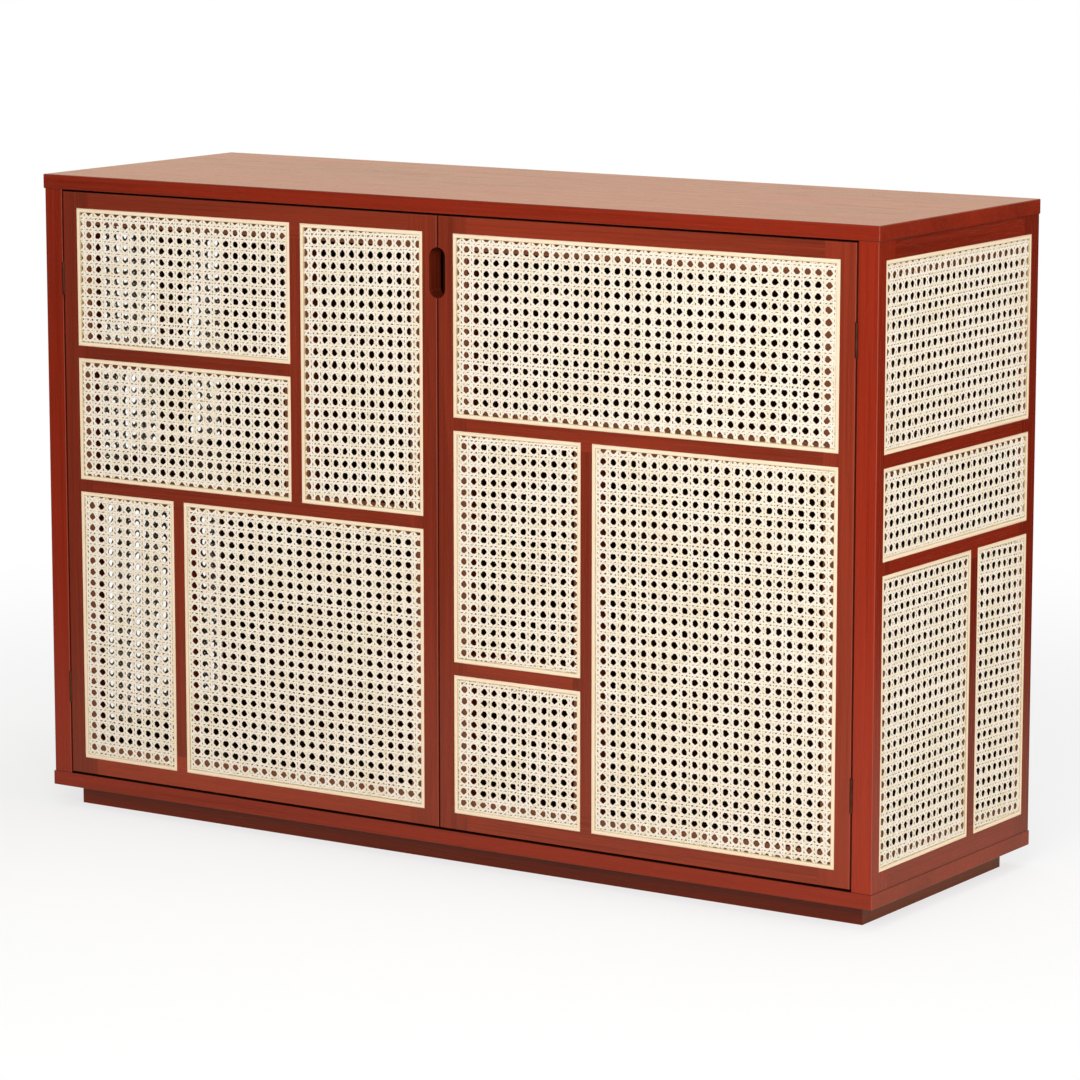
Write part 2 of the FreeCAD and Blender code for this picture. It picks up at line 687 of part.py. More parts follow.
def left_door(holes):
    """Two stacked panes and a tall one above the middle rail, a narrow and a wide one below it."""
    frame = Frame("left_door", "door_thickness")
    faces, between = door_outline(frame, SIDES["left"])
    upper = minus("upper_muntin_line")
    lower = minus("lower_muntin_line")
    above = f"({MIDDLE_LINE} + {HALF_BAR})"
    below = f"({MIDDLE_LINE} - {HALF_BAR})"
    left_of_upper = (faces[0], f"({upper} - {HALF_BAR})")
    frame.cell("top_pane", left_of_upper, (f"({TOP_LINE} + {HALF_BAR})", CELL_HIGH))
    frame.cell("second_pane", left_of_upper, (above, f"({TOP_LINE} - {HALF_BAR})"))
    frame.cell("tall_pane", (f"({upper} + {HALF_BAR})", faces[1]), (above, CELL_HIGH))
    frame.cell("narrow_pane", (faces[0], f"({lower} - {HALF_BAR})"), (CELL_LOW, below))
    frame.cell("wide_pane", (f"({lower} + {HALF_BAR})", faces[1]), (CELL_LOW, below))
    middle = around(MIDDLE_LINE, HALF_SLAB)
    upper_bar = around(upper, HALF_SLAB)
    frame.slab("middle_rail", between, middle)
    frame.slab("upper_muntin", upper_bar, (middle[1], f"({CELL_HIGH} - ledge)"))
    frame.slab("lower_muntin", around(lower, HALF_SLAB), (f"({CELL_LOW} + ledge)", middle[0]))
    frame.slab("short_rail", (between[0], upper_bar[0]), around(TOP_LINE, HALF_SLAB))
    frame.joint("middle_rail", "across low", "hinge_stile")
    frame.joint("middle_rail", "across high", "meeting_stile")
    frame.joint("upper_muntin", "up low", "middle_rail")
    frame.joint("upper_muntin", "up high", "top_rail")
    frame.joint("lower_muntin", "up low", "bottom_rail")
    frame.joint("lower_muntin", "up high", "middle_rail")
    frame.joint("short_rail", "across low", "hinge_stile")
    frame.joint("short_rail", "across high", "upper_muntin")
    frame.extra_cuts = {"hinge_stile": holes["left_door_hinge_stile"], "meeting_stile": [pull_cut("left")]}
    return frame


def right_door(holes):
    """One wide pane above the cross rail, two stacked panes and a tall one below it."""
    frame = Frame("right_door", "door_thickness")
    faces, between = door_outline(frame, SIDES["right"])
    line = "upper_muntin_line"
    below = f"({HIGH_LINE} - {HALF_BAR})"
    left_of_bar = (faces[0], f"({line} - {HALF_BAR})")
    frame.cell("top_pane", faces, (f"({HIGH_LINE} + {HALF_BAR})", CELL_HIGH))
    frame.cell("second_pane", left_of_bar, (f"({LOW_LINE} + {HALF_BAR})", below))
    frame.cell("low_pane", left_of_bar, (CELL_LOW, f"({LOW_LINE} - {HALF_BAR})"))
    frame.cell("tall_pane", (f"({line} + {HALF_BAR})", faces[1]), (CELL_LOW, below))
    cross = around(HIGH_LINE, HALF_SLAB)
    bar = around(line, HALF_SLAB)
    frame.slab("cross_rail", between, cross)
    frame.slab("muntin", bar, (f"({CELL_LOW} + ledge)", cross[0]))
    frame.slab("short_rail", (between[0], bar[0]), around(LOW_LINE, HALF_SLAB))
    frame.joint("cross_rail", "across low", "meeting_stile")
    frame.joint("cross_rail", "across high", "hinge_stile")
    frame.joint("muntin", "up low", "bottom_rail")
    frame.joint("muntin", "up high", "cross_rail")
    frame.joint("short_rail", "across low", "meeting_stile")
    frame.joint("short_rail", "across high", "muntin")
    frame.extra_cuts = {"hinge_stile": holes["right_door_hinge_stile"], "meeting_stile": [pull_cut("right")]}
    return frame


def beside(faces, line):
    """Spans of the panes in front of an upright bar and behind it."""
    return (faces[0], f"({line} - {HALF_BAR})"), (f"({line} + {HALF_BAR})", faces[1])


def case_side(side, holes):
    """A framed side: a wide and a narrow pane at the bottom, and two more above them.

    Above, the left side has a wide and a narrow pane again, split further forward than below, and the right side
    two wide ones over one another.
    """
    sign = SIDES[side]
    frame = Frame(f"{side}_side", "side_thickness", sign)
    faces = (f"({FRONT} + post_side_face)", f"({REAR} - post_side_face)")
    between = inset(faces, "ledge")
    whole = (BASE_TOP, CASE_TOP)
    line = f"({FRONT} + side_muntin_line)"
    low_line = f"({FRONT} + left_low_muntin_line)" if side == "left" else line
    above = f"({MIDDLE_LINE} + {HALF_BAR})"
    below = f"({MIDDLE_LINE} - {HALF_BAR})"
    lower = around(MIDDLE_LINE, HALF_SLAB)
    rails = ["top_rail", "lower_rail", "bottom_rail"]
    if side == "left":
        wide, narrow = beside(faces, line)
        frame.cell("top_wide_pane", wide, (above, CELL_HIGH))
        frame.cell("top_narrow_pane", narrow, (above, CELL_HIGH))
        frame.slab("upper_muntin", around(line, HALF_SLAB), (lower[1], f"({CELL_HIGH} - ledge)"))
        frame.joint("upper_muntin", "up low", "lower_rail")
        frame.joint("upper_muntin", "up high", "top_rail")
    else:
        frame.cell("top_pane", faces, (f"({HIGH_LINE} + {HALF_BAR})", CELL_HIGH))
        frame.cell("second_pane", faces, between_bars(MIDDLE_LINE, HIGH_LINE))
        frame.slab("upper_rail", between, around(HIGH_LINE, HALF_SLAB))
        rails.append("upper_rail")
    wide, narrow = beside(faces, low_line)
    frame.cell("wide_pane", wide, (CELL_LOW, below))
    frame.cell("narrow_pane", narrow, (CELL_LOW, below))
    frame.slab("front_post", (FRONT, between[0]), whole, {(sign, -1, 0), (-sign, -1, 0)})
    frame.slab("rear_post", (between[1], REAR), whole, {(sign, 1, 0)})
    frame.slab("top_rail", between, (f"({CELL_HIGH} - ledge)", CASE_TOP))
    frame.slab("lower_rail", between, lower)
    frame.slab("bottom_rail", between, (BASE_TOP, f"({CELL_LOW} + ledge)"))
    frame.slab("muntin", around(low_line, HALF_SLAB), (f"({CELL_LOW} + ledge)", lower[0]))
    for rail in rails:
        frame.joint(rail, "across low", "front_post")
        frame.joint(rail, "across high", "rear_post")
    frame.joint("muntin", "up low", "bottom_rail")
    frame.joint("muntin", "up high", "lower_rail")
    for slab in frame.slabs:
        frame.extra_cuts[slab] = holes.get(f"{side}_side_{slab}", [])
    return frame


def write_parts():
    """Checks every object and writes each sub-part to a file of its own."""
    doc.recompute()
    for item in doc.Objects:
        if {"Invalid", "Error"} & set(item.State):
            raise RuntimeError(f"{item.Name} failed: {item.State}")
    for item in sub_parts:
        if item.Shape.isNull() or not item.Shape.isValid():
            raise RuntimeError(f"{item.Label} has no valid shape")
    os.makedirs("parts", exist_ok=True)
    for item in sub_parts:
        item.Shape.exportStep(f"parts/{item.Label}.step")
        print(item.Label, len(item.Shape.Solids), round(item.Shape.Volume))


holes = build_dowels()
build_hinges(holes)
build_shelves(holes)
build_back(holes)
build_boards(holes)
build_catches()
frames = [left_door(holes), right_door(holes), case_side("left", holes), case_side("right", holes)]
for frame in frames:
    frame.build_slabs()
    frame.build_cane()
write_parts()
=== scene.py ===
"""Looks of a cane-panelled sideboard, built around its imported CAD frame.

Each wooden node keeps its CAD shape and gets stained ash with the grain along its own length. The plain cane sheets
are replaced by woven panes of flat strands, and the square splines by crowned reeds bent round each pane.
"""
import json
import math

import bpy
import numpy as np
from bpy.props import FloatProperty, FloatVectorProperty, IntProperty, PointerProperty
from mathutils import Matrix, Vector


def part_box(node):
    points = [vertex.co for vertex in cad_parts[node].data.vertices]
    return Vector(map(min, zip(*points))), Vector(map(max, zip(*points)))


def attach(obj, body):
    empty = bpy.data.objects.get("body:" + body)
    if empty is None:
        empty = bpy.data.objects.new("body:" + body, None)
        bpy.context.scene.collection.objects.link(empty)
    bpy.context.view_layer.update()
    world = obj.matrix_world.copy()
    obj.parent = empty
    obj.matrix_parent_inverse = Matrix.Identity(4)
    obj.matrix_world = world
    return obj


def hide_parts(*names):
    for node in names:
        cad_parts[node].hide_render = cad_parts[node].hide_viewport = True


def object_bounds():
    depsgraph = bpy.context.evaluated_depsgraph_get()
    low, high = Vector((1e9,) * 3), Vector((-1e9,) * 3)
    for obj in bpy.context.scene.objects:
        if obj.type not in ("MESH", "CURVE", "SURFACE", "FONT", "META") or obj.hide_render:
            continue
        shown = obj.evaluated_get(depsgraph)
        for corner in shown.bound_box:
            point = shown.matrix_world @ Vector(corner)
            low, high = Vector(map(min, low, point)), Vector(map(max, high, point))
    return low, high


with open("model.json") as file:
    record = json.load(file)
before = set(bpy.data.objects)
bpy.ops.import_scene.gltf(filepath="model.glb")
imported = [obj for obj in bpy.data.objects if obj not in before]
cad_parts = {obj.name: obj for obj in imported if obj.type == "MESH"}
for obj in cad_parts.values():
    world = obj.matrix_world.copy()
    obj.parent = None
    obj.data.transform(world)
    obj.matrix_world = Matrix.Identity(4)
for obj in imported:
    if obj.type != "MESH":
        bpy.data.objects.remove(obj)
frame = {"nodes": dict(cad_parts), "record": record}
CAD_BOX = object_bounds()
MIDDLE = (CAD_BOX[0] + CAD_BOX[1]) / 2

bl_info = {
    "name": "Cane sideboard",
    "version": (1, 0, 0),
    "blender": (4, 5, 0),
    "location": "View3D > Sidebar > Sideboard",
    "description": "Dresses the packed sideboard in stained ash, woven cane and reed splines",
    "category": "Object",
}

MM = 0.001
AXES = "XYZ"
UP = np.array((0.0, 0.0, 1.0))
WHITE = (1.0, 1.0, 1.0)
BLACK = (0.0, 0.0, 0.0)

# Each panelled frame: the body it rides on, and the direction to the right for someone who faces it.
PANEL_FRAMES = {
    "left_door": ("left_door", (1.0, 0.0, 0.0)),
    "right_door": ("right_door", (1.0, 0.0, 0.0)),
    "left_side": ("carcass", (0.0, -1.0, 0.0)),
    "right_side": ("carcass", (0.0, 1.0, 0.0)),
}

# How the cane lies in each pane, a little askew, as pairs of pitches to the right and down: the first hole from the
# upper left corner, the step to the next hole across, and the step to the next hole down.
CANE_LAYS = {
    "left_door": (
        (0.350, 0.380, 1.0105, -0.006, -0.003, 0.998),
        (0.525, 0.415, 0.980, -0.029, 0.008, 1.062),
        (-0.060, 0.458, 1.040, -0.009, -0.001, 1.022),
        (0.215, 0.207, 1.022, 0.014, -0.009, 1.002),
        (-0.044, 0.388, 1.050, -0.002, 0.008, 0.994),
    ),
    "right_door": (
        (0.388, 0.328, 0.996, -0.004, -0.007, 0.987),
        (0.070, 0.306, 1.005, -0.022, -0.004, 0.986),
        (0.099, 0.454, 0.994, -0.016, 0.002, 0.987),
        (0.048, 0.203, 1.014, -0.005, -0.011, 0.984),
    ),
    "left_side": (
        (0.610, 0.340, 1.004, 0.012, -0.006, 1.008),
        (0.280, 0.560, 0.996, -0.008, 0.004, 1.012),
        (1.091, 0.820, 0.985, 0.037, -0.011, 1.015),
        (0.503, 0.917, 0.984, 0.000, 0.007, 1.015),
    ),
    "right_side": (
        (0.525, 0.221, 0.999, -0.002, -0.013, 1.019),
        (0.527, 0.554, 1.000, -0.005, 0.000, 1.006),
        (0.503, 0.917, 0.984, 0.000, 0.007, 1.015),
        (1.091, 0.820, 0.985, 0.037, -0.011, 1.015),
    ),
}


def length(name, description, millimetres):
    """A size in metres that a user may change."""
    return FloatProperty(name=name, description=description, default=millimetres * MM, min=0.0, unit="LENGTH",
                         precision=4)


def colour(name, description, red, green, blue):
    """A linear colour that a user may change."""
    return FloatVectorProperty(name=name, description=description, default=(red, green, blue), min=0.0, max=1.0,
                               subtype="COLOR", size=3)


def share(name, description, default):
    """A plain number from nothing to one that a user may change."""
    return FloatProperty(name=name, description=description, default=default, min=0.0, max=1.0, subtype="FACTOR")


class WeaveSettings(bpy.types.PropertyGroup):
    """Sizes and colours of the woven cane."""

    pitch: length("Pitch", "Usual distance between neighbouring holes, across and up", 14.15)
    strand_width: length("Strand width", "Width of one flat strand", 2.65)
    strand_thickness: length("Strand thickness", "Thickness of one flat strand", 0.42)
    pair_near: length("Pair at crossings", "A paired strand's middle from the pair's line where pairs cross", 1.5)
    pair_far: length("Pair beside holes", "A paired strand's middle from the pair's line beside a hole", 1.95)
    pair_rise: length("Pair rise", "How far a paired strand goes over and under the pair it crosses", 0.27)
    diagonal_rise: length("Diagonal rise", "How far a diagonal goes over and under a pair", 0.52)
    diagonal_rest: length("Diagonal rest", "Half of a diagonal's level stretch at a pair", 2.4)
    middle_depth: length("Middle depth", "Middle of the weave below the frame's face", 1.4)
    margin: length("Margin", "Edge of the weave from the edge of the pane, under the spline", 5.2)
    tuck: length("Tuck", "Stretch at the weave's edges where it turns down into the groove", 1.8)
    tuck_depth: length("Tuck depth", "How far the weave's edges turn down", 1.0)
    unevenness: length("Unevenness", "Spread of the strands' small sideways errors", 0.24)
    seed: IntProperty(name="Seed", description="Start of the random errors", default=7, min=0)
    pale: colour("Pale cane", "Colour of the palest strands", 0.90, 0.81, 0.69)
    warm: colour("Warm cane", "Colour of the darkest strands", 0.82, 0.71, 0.53)
    stain: colour("Fleck", "Colour of the small flecks on the skin", 0.62, 0.46, 0.26)
    # Partly the pith's own duller colour and partly painted shade on the strands' inner side.
    pith: colour("Pith", "Colour of the strands' dull inner side", 0.36, 0.27, 0.14)


class SplineSettings(bpy.types.PropertyGroup):
    """Sizes and colours of the reed splines that hold the cane."""

    width: length("Width", "Width of the reed across its groove", 5.5)
    slack: length("Slack", "Room between the reed and the groove's walls", 0.02)
    crown: length("Crown", "Rise of the reed's rounded top above its shoulders", 1.1)
    pale: colour("Pale reed", "Colour of the reed's pale fibres", 0.93, 0.76, 0.55)
    warm: colour("Warm reed", "Colour of the reed's darker fibres", 0.84, 0.62, 0.40)
    # Painted shade in the crevice where the reed meets the cane.
    crevice_shade: colour("Joint", "Colour of the glue and dust where the reed meets the cane", 0.50, 0.40, 0.19)


class StainSettings(bpy.types.PropertyGroup):
    """Colours and grain of the stained ash."""

    case: colour("Case stain", "Colour of the posts, rails and boards of the case", 0.240, 0.0170, 0.0045)
    door: colour("Door stain", "Colour of the doors' frames", 0.213, 0.0245, 0.0088)
    # Painted shade: the recessed plinth is darker than the case, for the shade under the overhang.
    plinth: colour("Plinth stain", "Colour of the recessed plinth", 0.150, 0.0110, 0.0030)
    # Painted shade: this dark colour of everything inside the case stands in for the shade there.
    inside: colour("Inside stain", "Colour of the back, the partition, the shelves and what else is inside",
                   0.040, 0.0090, 0.0035)
    # The seats under the cane take this paler, browner colour than the face.
    seat: colour("Seat stain", "Colour of the routed seats under the cane, where the stain is thin",
                 0.16, 0.056, 0.026)
    # Painted highlight: the paler colour along the upright eased edges.
    arris_highlight: colour("Worn arris", "Colour of the upright eased edges, where the stain is rubbed thin",
                 0.36, 0.085, 0.055)
    depth: share("Depth", "How much darker than the board its pores and growth lines are", 0.52)
    lift: share("Lift", "How much lighter than the board its smooth late wood is", 0.30)
    ring: length("Ring", "Distance between growth lines", 3.4)
    roughness: share("Roughness", "Roughness of the satin lacquer", 0.22)
    gloss: FloatProperty(name="Gloss", description="Refractive index of the lacquer", default=1.40, min=1.0)
    bare: FloatProperty(name="Bare", description="Refractive index of the dull, bare inside", default=1.03,
                        min=1.0)
    # Painted shade: how much darker upright boards are on the faces that look to the sides.
    side_face_shade: share("Flank", "How much deeper the stain is on the faces that upright boards turn to the sides", 0.35)


class FittingSettings(bpy.types.PropertyGroup):
    """Colours of the hinges, screws, pins, catches and dowels."""

    brass: colour("Brass", "Darkened brass of the hinges", 0.12, 0.042, 0.028)
    steel: colour("Steel", "Plated steel of screws, pins and strikes", 0.45, 0.43, 0.40)
    plastic: colour("Plastic", "Brown plastic of the catches", 0.055, 0.030, 0.022)
    beech: colour("Beech", "Bare wood of the dowels", 0.62, 0.45, 0.28)


class StageSettings(bpy.types.PropertyGroup):
    """Camera, lamps and floor."""

    azimuth: FloatProperty(name="Azimuth", description="Turn of the view to the object's right",
                           default=math.radians(33.36), subtype="ANGLE")
    elevation: FloatProperty(name="Elevation", description="Height of the view above the horizon",
                             default=math.radians(9.64), subtype="ANGLE")
    distance: length("Distance", "Camera from the point that it looks at", 5608.0)
    target: FloatVectorProperty(name="Target", description="Point that the camera looks at",
                                default=(0.0161, 0.0041, 0.3729), subtype="TRANSLATION", size=3)
    lens: FloatProperty(name="Lens", description="Focal length in millimetres on a 36 mm sensor", default=151.45)
    key: FloatProperty(name="Key lamp", description="Power of the large lamp at the front right", default=98.0,
                       min=0.0, subtype="POWER")
    fill: FloatProperty(name="Fill lamp", description="Power of the lamp at the right", default=46.0, min=0.0,
                        subtype="POWER")
    roof: FloatProperty(name="Roof lamp", description="Power of the lamp overhead", default=58.0, min=0.0,
                        subtype="POWER")
    ambient: FloatProperty(name="Ambient", description="Strength of the even light from all round", default=0.30,
                           min=0.0)
    # Painted reflection: the world shows this warm tint only to glossy rays.
    reflection_tint: colour("Wall", "Colour of the studio's walls in the gloss of the lacquer", 1.0, 0.81, 0.60)
    # Painted reflection: the floor glows with this colour only for glossy rays.
    sheen: colour("Sheen", "Colour of the floor by the object in the gloss of the lacquer", 0.60, 0.52, 0.295)
    floor: colour("Floor", "Colour of the plain pale floor", 0.90, 0.90, 0.895)
    floor_glow: share("Floor glow", "Share of plain white in what the camera sees of the floor by the object", 0.7)
    glow_start: length("Glow start", "Where the floor starts to turn plain white, from the middle", 700.0)
    glow_end: length("Glow end", "Where the floor is plain white, from the middle", 2300.0)


class Socket:
    """One output of a node. Arithmetic on it adds Math nodes to its tree."""

    def __init__(self, finish, source):
        self.finish = finish
        self.source = source

    def math(self, operation, *others):
        """A Math node of this operation on this value and the others."""
        return self.finish.math(operation, self, *others)

    def __add__(self, other):
        return self.math("ADD", other)

    __radd__ = __add__

    def __sub__(self, other):
        return self.math("SUBTRACT", other)

    def __rsub__(self, other):
        return self.finish.math("SUBTRACT", other, self)

    def __mul__(self, other):
        return self.math("MULTIPLY", other)

    __rmul__ = __mul__

    def __truediv__(self, other):
        return self.math("DIVIDE", other)

    def __rtruediv__(self, other):
        return self.finish.math("DIVIDE", other, self)

    def __pow__(self, other):
        return self.math("POWER", other)

    def __rpow__(self, other):
        return self.finish.math("POWER", other, self)

    def above(self, edge, softness):
        """0 below the edge, 1 above it, with a soft step between."""
        sockets = {"Value": self, "From Min": edge - softness, "From Max": edge + softness}
        return self.finish.node("ShaderNodeMapRange", {"interpolation_type": "SMOOTHSTEP"}, sockets)


# A Mix node has sockets for each kind of data. These are its factor, and its two colours and the result.
MIX_FACTOR = 0
MIX_FIRST = 6
MIX_SECOND = 7
MIX_RESULT = 2


class Finish:
    """A material and the nodes that make it."""

    def __init__(self, name):
        self.material = bpy.data.materials.new(name)
        self.material.use_nodes = True
        self.tree = self.material.node_tree
        self.shader = next(n for n in self.tree.nodes if n.type == "BSDF_PRINCIPLED")

    def node(self, kind, settings=None, sockets=None, output=0):
        """A node of this kind. Its settings are set first, then each socket gets a value or a link."""
        made = self.tree.nodes.new(kind)
        for key, value in (settings or {}).items():
            if key == "stops":
                self.set_stops(made.color_ramp, value)
            else:
                setattr(made, key, value)
        for key, value in (sockets or {}).items():
            self.feed(made.inputs[key], value)
        return Socket(self, made.outputs[output])

    def feed(self, socket, value):
        """Links an output to a socket, or sets the socket's own value."""
        if isinstance(value, Socket):
            self.tree.links.new(value.source, socket)
        else:
            socket.default_value = value

    def set_stops(self, ramp, stops):
        """Gives a colour ramp these places and colours."""
        while len(ramp.elements) < len(stops):
            ramp.elements.new(1.0)
        for element, (place, tint) in zip(ramp.elements, stops):
            element.position = place
            element.color = (*tint, 1.0)

    def math(self, operation, *terms):
        """A Math node of this operation on these terms."""
        return self.node("ShaderNodeMath", {"operation": operation}, dict(enumerate(terms)))

    def here(self):
        """Place on the object, in metres."""
        return self.node("ShaderNodeTexCoord", output="Object")

    def facing(self):
        """Direction that a flat face looks in, in the object's own space."""
        normal = self.node("ShaderNodeNewGeometry", output="True Normal")
        turn = {"vector_type": "NORMAL", "convert_from": "WORLD", "convert_to": "OBJECT"}
        return self.node("ShaderNodeVectorTransform", turn, {0: normal})

    def part(self, vector, axis):
        """One of a vector's three numbers."""
        return self.node("ShaderNodeSeparateXYZ", None, {0: vector}, axis)

    def noise(self, vector, cells, detail=2.0, roughness=0.5):
        """Soft noise about an even middle, with this many cells to the metre, one number for each axis or for all."""
        scale = cells if isinstance(cells, tuple) else (cells, cells, cells)
        stretched = self.node("ShaderNodeVectorMath", {"operation": "MULTIPLY"}, {0: vector, 1: scale})
        sockets = {"Vector": stretched, "Scale": 1.0, "Detail": detail, "Roughness": roughness}
        return self.node("ShaderNodeTexNoise", None, sockets)

    def blend(self, factor, first, second):
        """A colour between two colours."""
        sockets = {MIX_FACTOR: factor, MIX_FIRST: first, MIX_SECOND: second}
        return self.node("ShaderNodeMix", {"data_type": "RGBA"}, sockets, MIX_RESULT)

    def bump(self, height, distance, strength):
        """A normal that follows a height, whose full rise is this distance."""
        sockets = {"Height": height, "Distance": distance, "Strength": strength}
        return self.node("ShaderNodeBump", None, sockets)

    def surface(self, **sockets):
        """Feeds the shader: underscores in a name stand for spaces."""
        for key, value in sockets.items():
            self.feed(self.shader.inputs[key.replace("_", " ")], value)


def rgba(tint):
    """A settings colour as four plain numbers."""
    return (*tint, 1.0)


def largest(first, *others):
    """The largest of several values."""
    for other in others:
        first = first.math("MAXIMUM", other)
    return first


def toned(tint, tone):
    """A colour made darker or lighter."""
    return tuple(tone * part for part in tint)


# The middle that noise swings about, and a soft step over the whole way from 0 to 1, as its edge and softness.
EVEN = 0.5
WHOLE_STEP = (0.5, 0.5)

# Turn that brings each grain direction to X, and the line of the tree's pith in that turned space, in metres.
GRAIN_TURNS = ((0.0, 0.0, 0.0), (0.0, 0.0, -math.pi / 2), (0.0, math.pi / 2, 0.0))
PITH = ((0.0, -0.25, 0.90), (0.0, 0.20, 1.10), (0.0, -0.95, 0.15))
# Boards that the pieces are cut from: each one's place in the tree, in metres, and its tone under the stain, which is
# partly the board's own and partly painted light: the lighter tone goes mostly to the right of the front, the darker
# one to the right side.
BOARDS = (((0.0, 0.0, 0.0), 0.87), ((0.71, 0.013, 0.031), 1.0), ((1.63, -0.027, 0.017), 1.18))
DARK, MIDDLING, LIGHT = range(len(BOARDS))
UPRIGHT = AXES.index("Z")
# Masks of the ash, each a soft step's edge and softness: how far a rounded edge leans, how far a level edge looks up
# or down, how squarely a face looks along an axis or to the sides, and how deep the seats and the painted inner
# shade lie.
EDGE_LEAN = (0.08, 0.07)
LEVEL_LEAN = (0.3, 0.1)
SQUARE = (0.9, 0.05)
SIDEWAYS = (0.8, 0.1)
SEAT_DEPTH = (1.5 * MM, 0.5 * MM)
INNER_SHADE_DEPTH = (6.0 * MM, 1.0 * MM)
INNER_SHADE_SETBACK = (4.0 * MM, 1.0 * MM)
# Noise of the ash, in cells to the metre along the grain and across it.
ASH_WAVE = (1.1, 7.0, 7.0)
ASH_STREAK = (2.6, 240.0, 240.0)
ASH_FIBRE = (14.0, 900.0, 900.0)
ASH_PORE = (22.0, 1500.0, 1500.0)
ASH_PATCH = (1.4, 9.0, 9.0)
# How far waves bend a growth line, how fast its early wood fades, and the pores' edge and their share in late wood.
WAVE_REACH = 30.0 * MM
EARLY_FADE = 2.2
PORE_EDGE = (0.62, 0.06)
LATE_PORES = 0.35
# A board's usual shade, what each pattern does to it, and which shades are dark, plain and light.
USUAL_SHADE = 0.54
STREAK_SHADE = 0.6
FIBRE_SHADE = 0.35
PATCH_SHADE = 0.9
EARLY_SHADE = 0.12
SHADE_STOPS = (0.05, 0.5, 0.95)
# Shares of the dark tone in pores, of the painted shade in the seams at level edges, of the seats' paler colour
# and of the painted highlight on upright edges.
PORE_SHARE = 0.5
SEAM_SHADE_SHARE = 0.7
SEAT_SHARE = 0.9
ARRIS_HIGHLIGHT_SHARE = 0.6
# Relief of the lacquer: each pattern's share, the full rise and the strength, and how much the patterns roughen it.
STREAK_RISE = 0.4
FIBRE_RISE = 0.2
PORE_SINK = 0.8
ASH_RELIEF = (0.12 * MM, 0.35)
STREAK_ROUGHNESS = 0.12
PORE_ROUGHNESS = 0.15


def arrises(made):
    """Masks of the rounded edges, which lean away from all three axes: the upright ones, and all the others."""
    size = made.node("ShaderNodeVectorMath", {"operation": "ABSOLUTE"}, {0: made.facing()})
    lean = [made.part(size, axis) for axis in AXES]
    edge = (1.0 - largest(*lean)).above(*EDGE_LEAN)
    level = lean[UPRIGHT].above(*LEVEL_LEAN)
    return edge * (1.0 - level), edge * level


def depth_below(made, axis, face):
    """How far a place lies below the faces at this distance from the middle plane across an axis, in metres."""
    place = made.part(made.here(), axis)
    return face - place.math("ABSOLUTE")


def seats(made, axis, face):
    """1 on the seats routed for the cane: they look outwards along an axis, from below the frame's face."""
    place = made.part(made.here(), axis)
    outwards = made.part(made.facing(), axis) * place.math("SIGN")
    return outwards.above(*SQUARE) * depth_below(made, axis, face).above(*SEAT_DEPTH)


def side_inner_shade(made):
    """1 on what lies inside the case on a framed side, well below its outer face and its front and back, for painted
    shade.
    """
    far = CAD_BOX[1]
    return depth_below(made, "X", far.x).above(*INNER_SHADE_DEPTH) * depth_below(made, "Y", far.y).above(*INNER_SHADE_SETBACK)


def board_inner_shade(made):
    """1 on the faces of the level boards that look into the case, towards its middle height, for painted shade."""
    offset = MIDDLE.z - made.part(made.here(), "Z")
    return (made.part(made.facing(), "Z") * offset.math("SIGN")).above(*SQUARE)


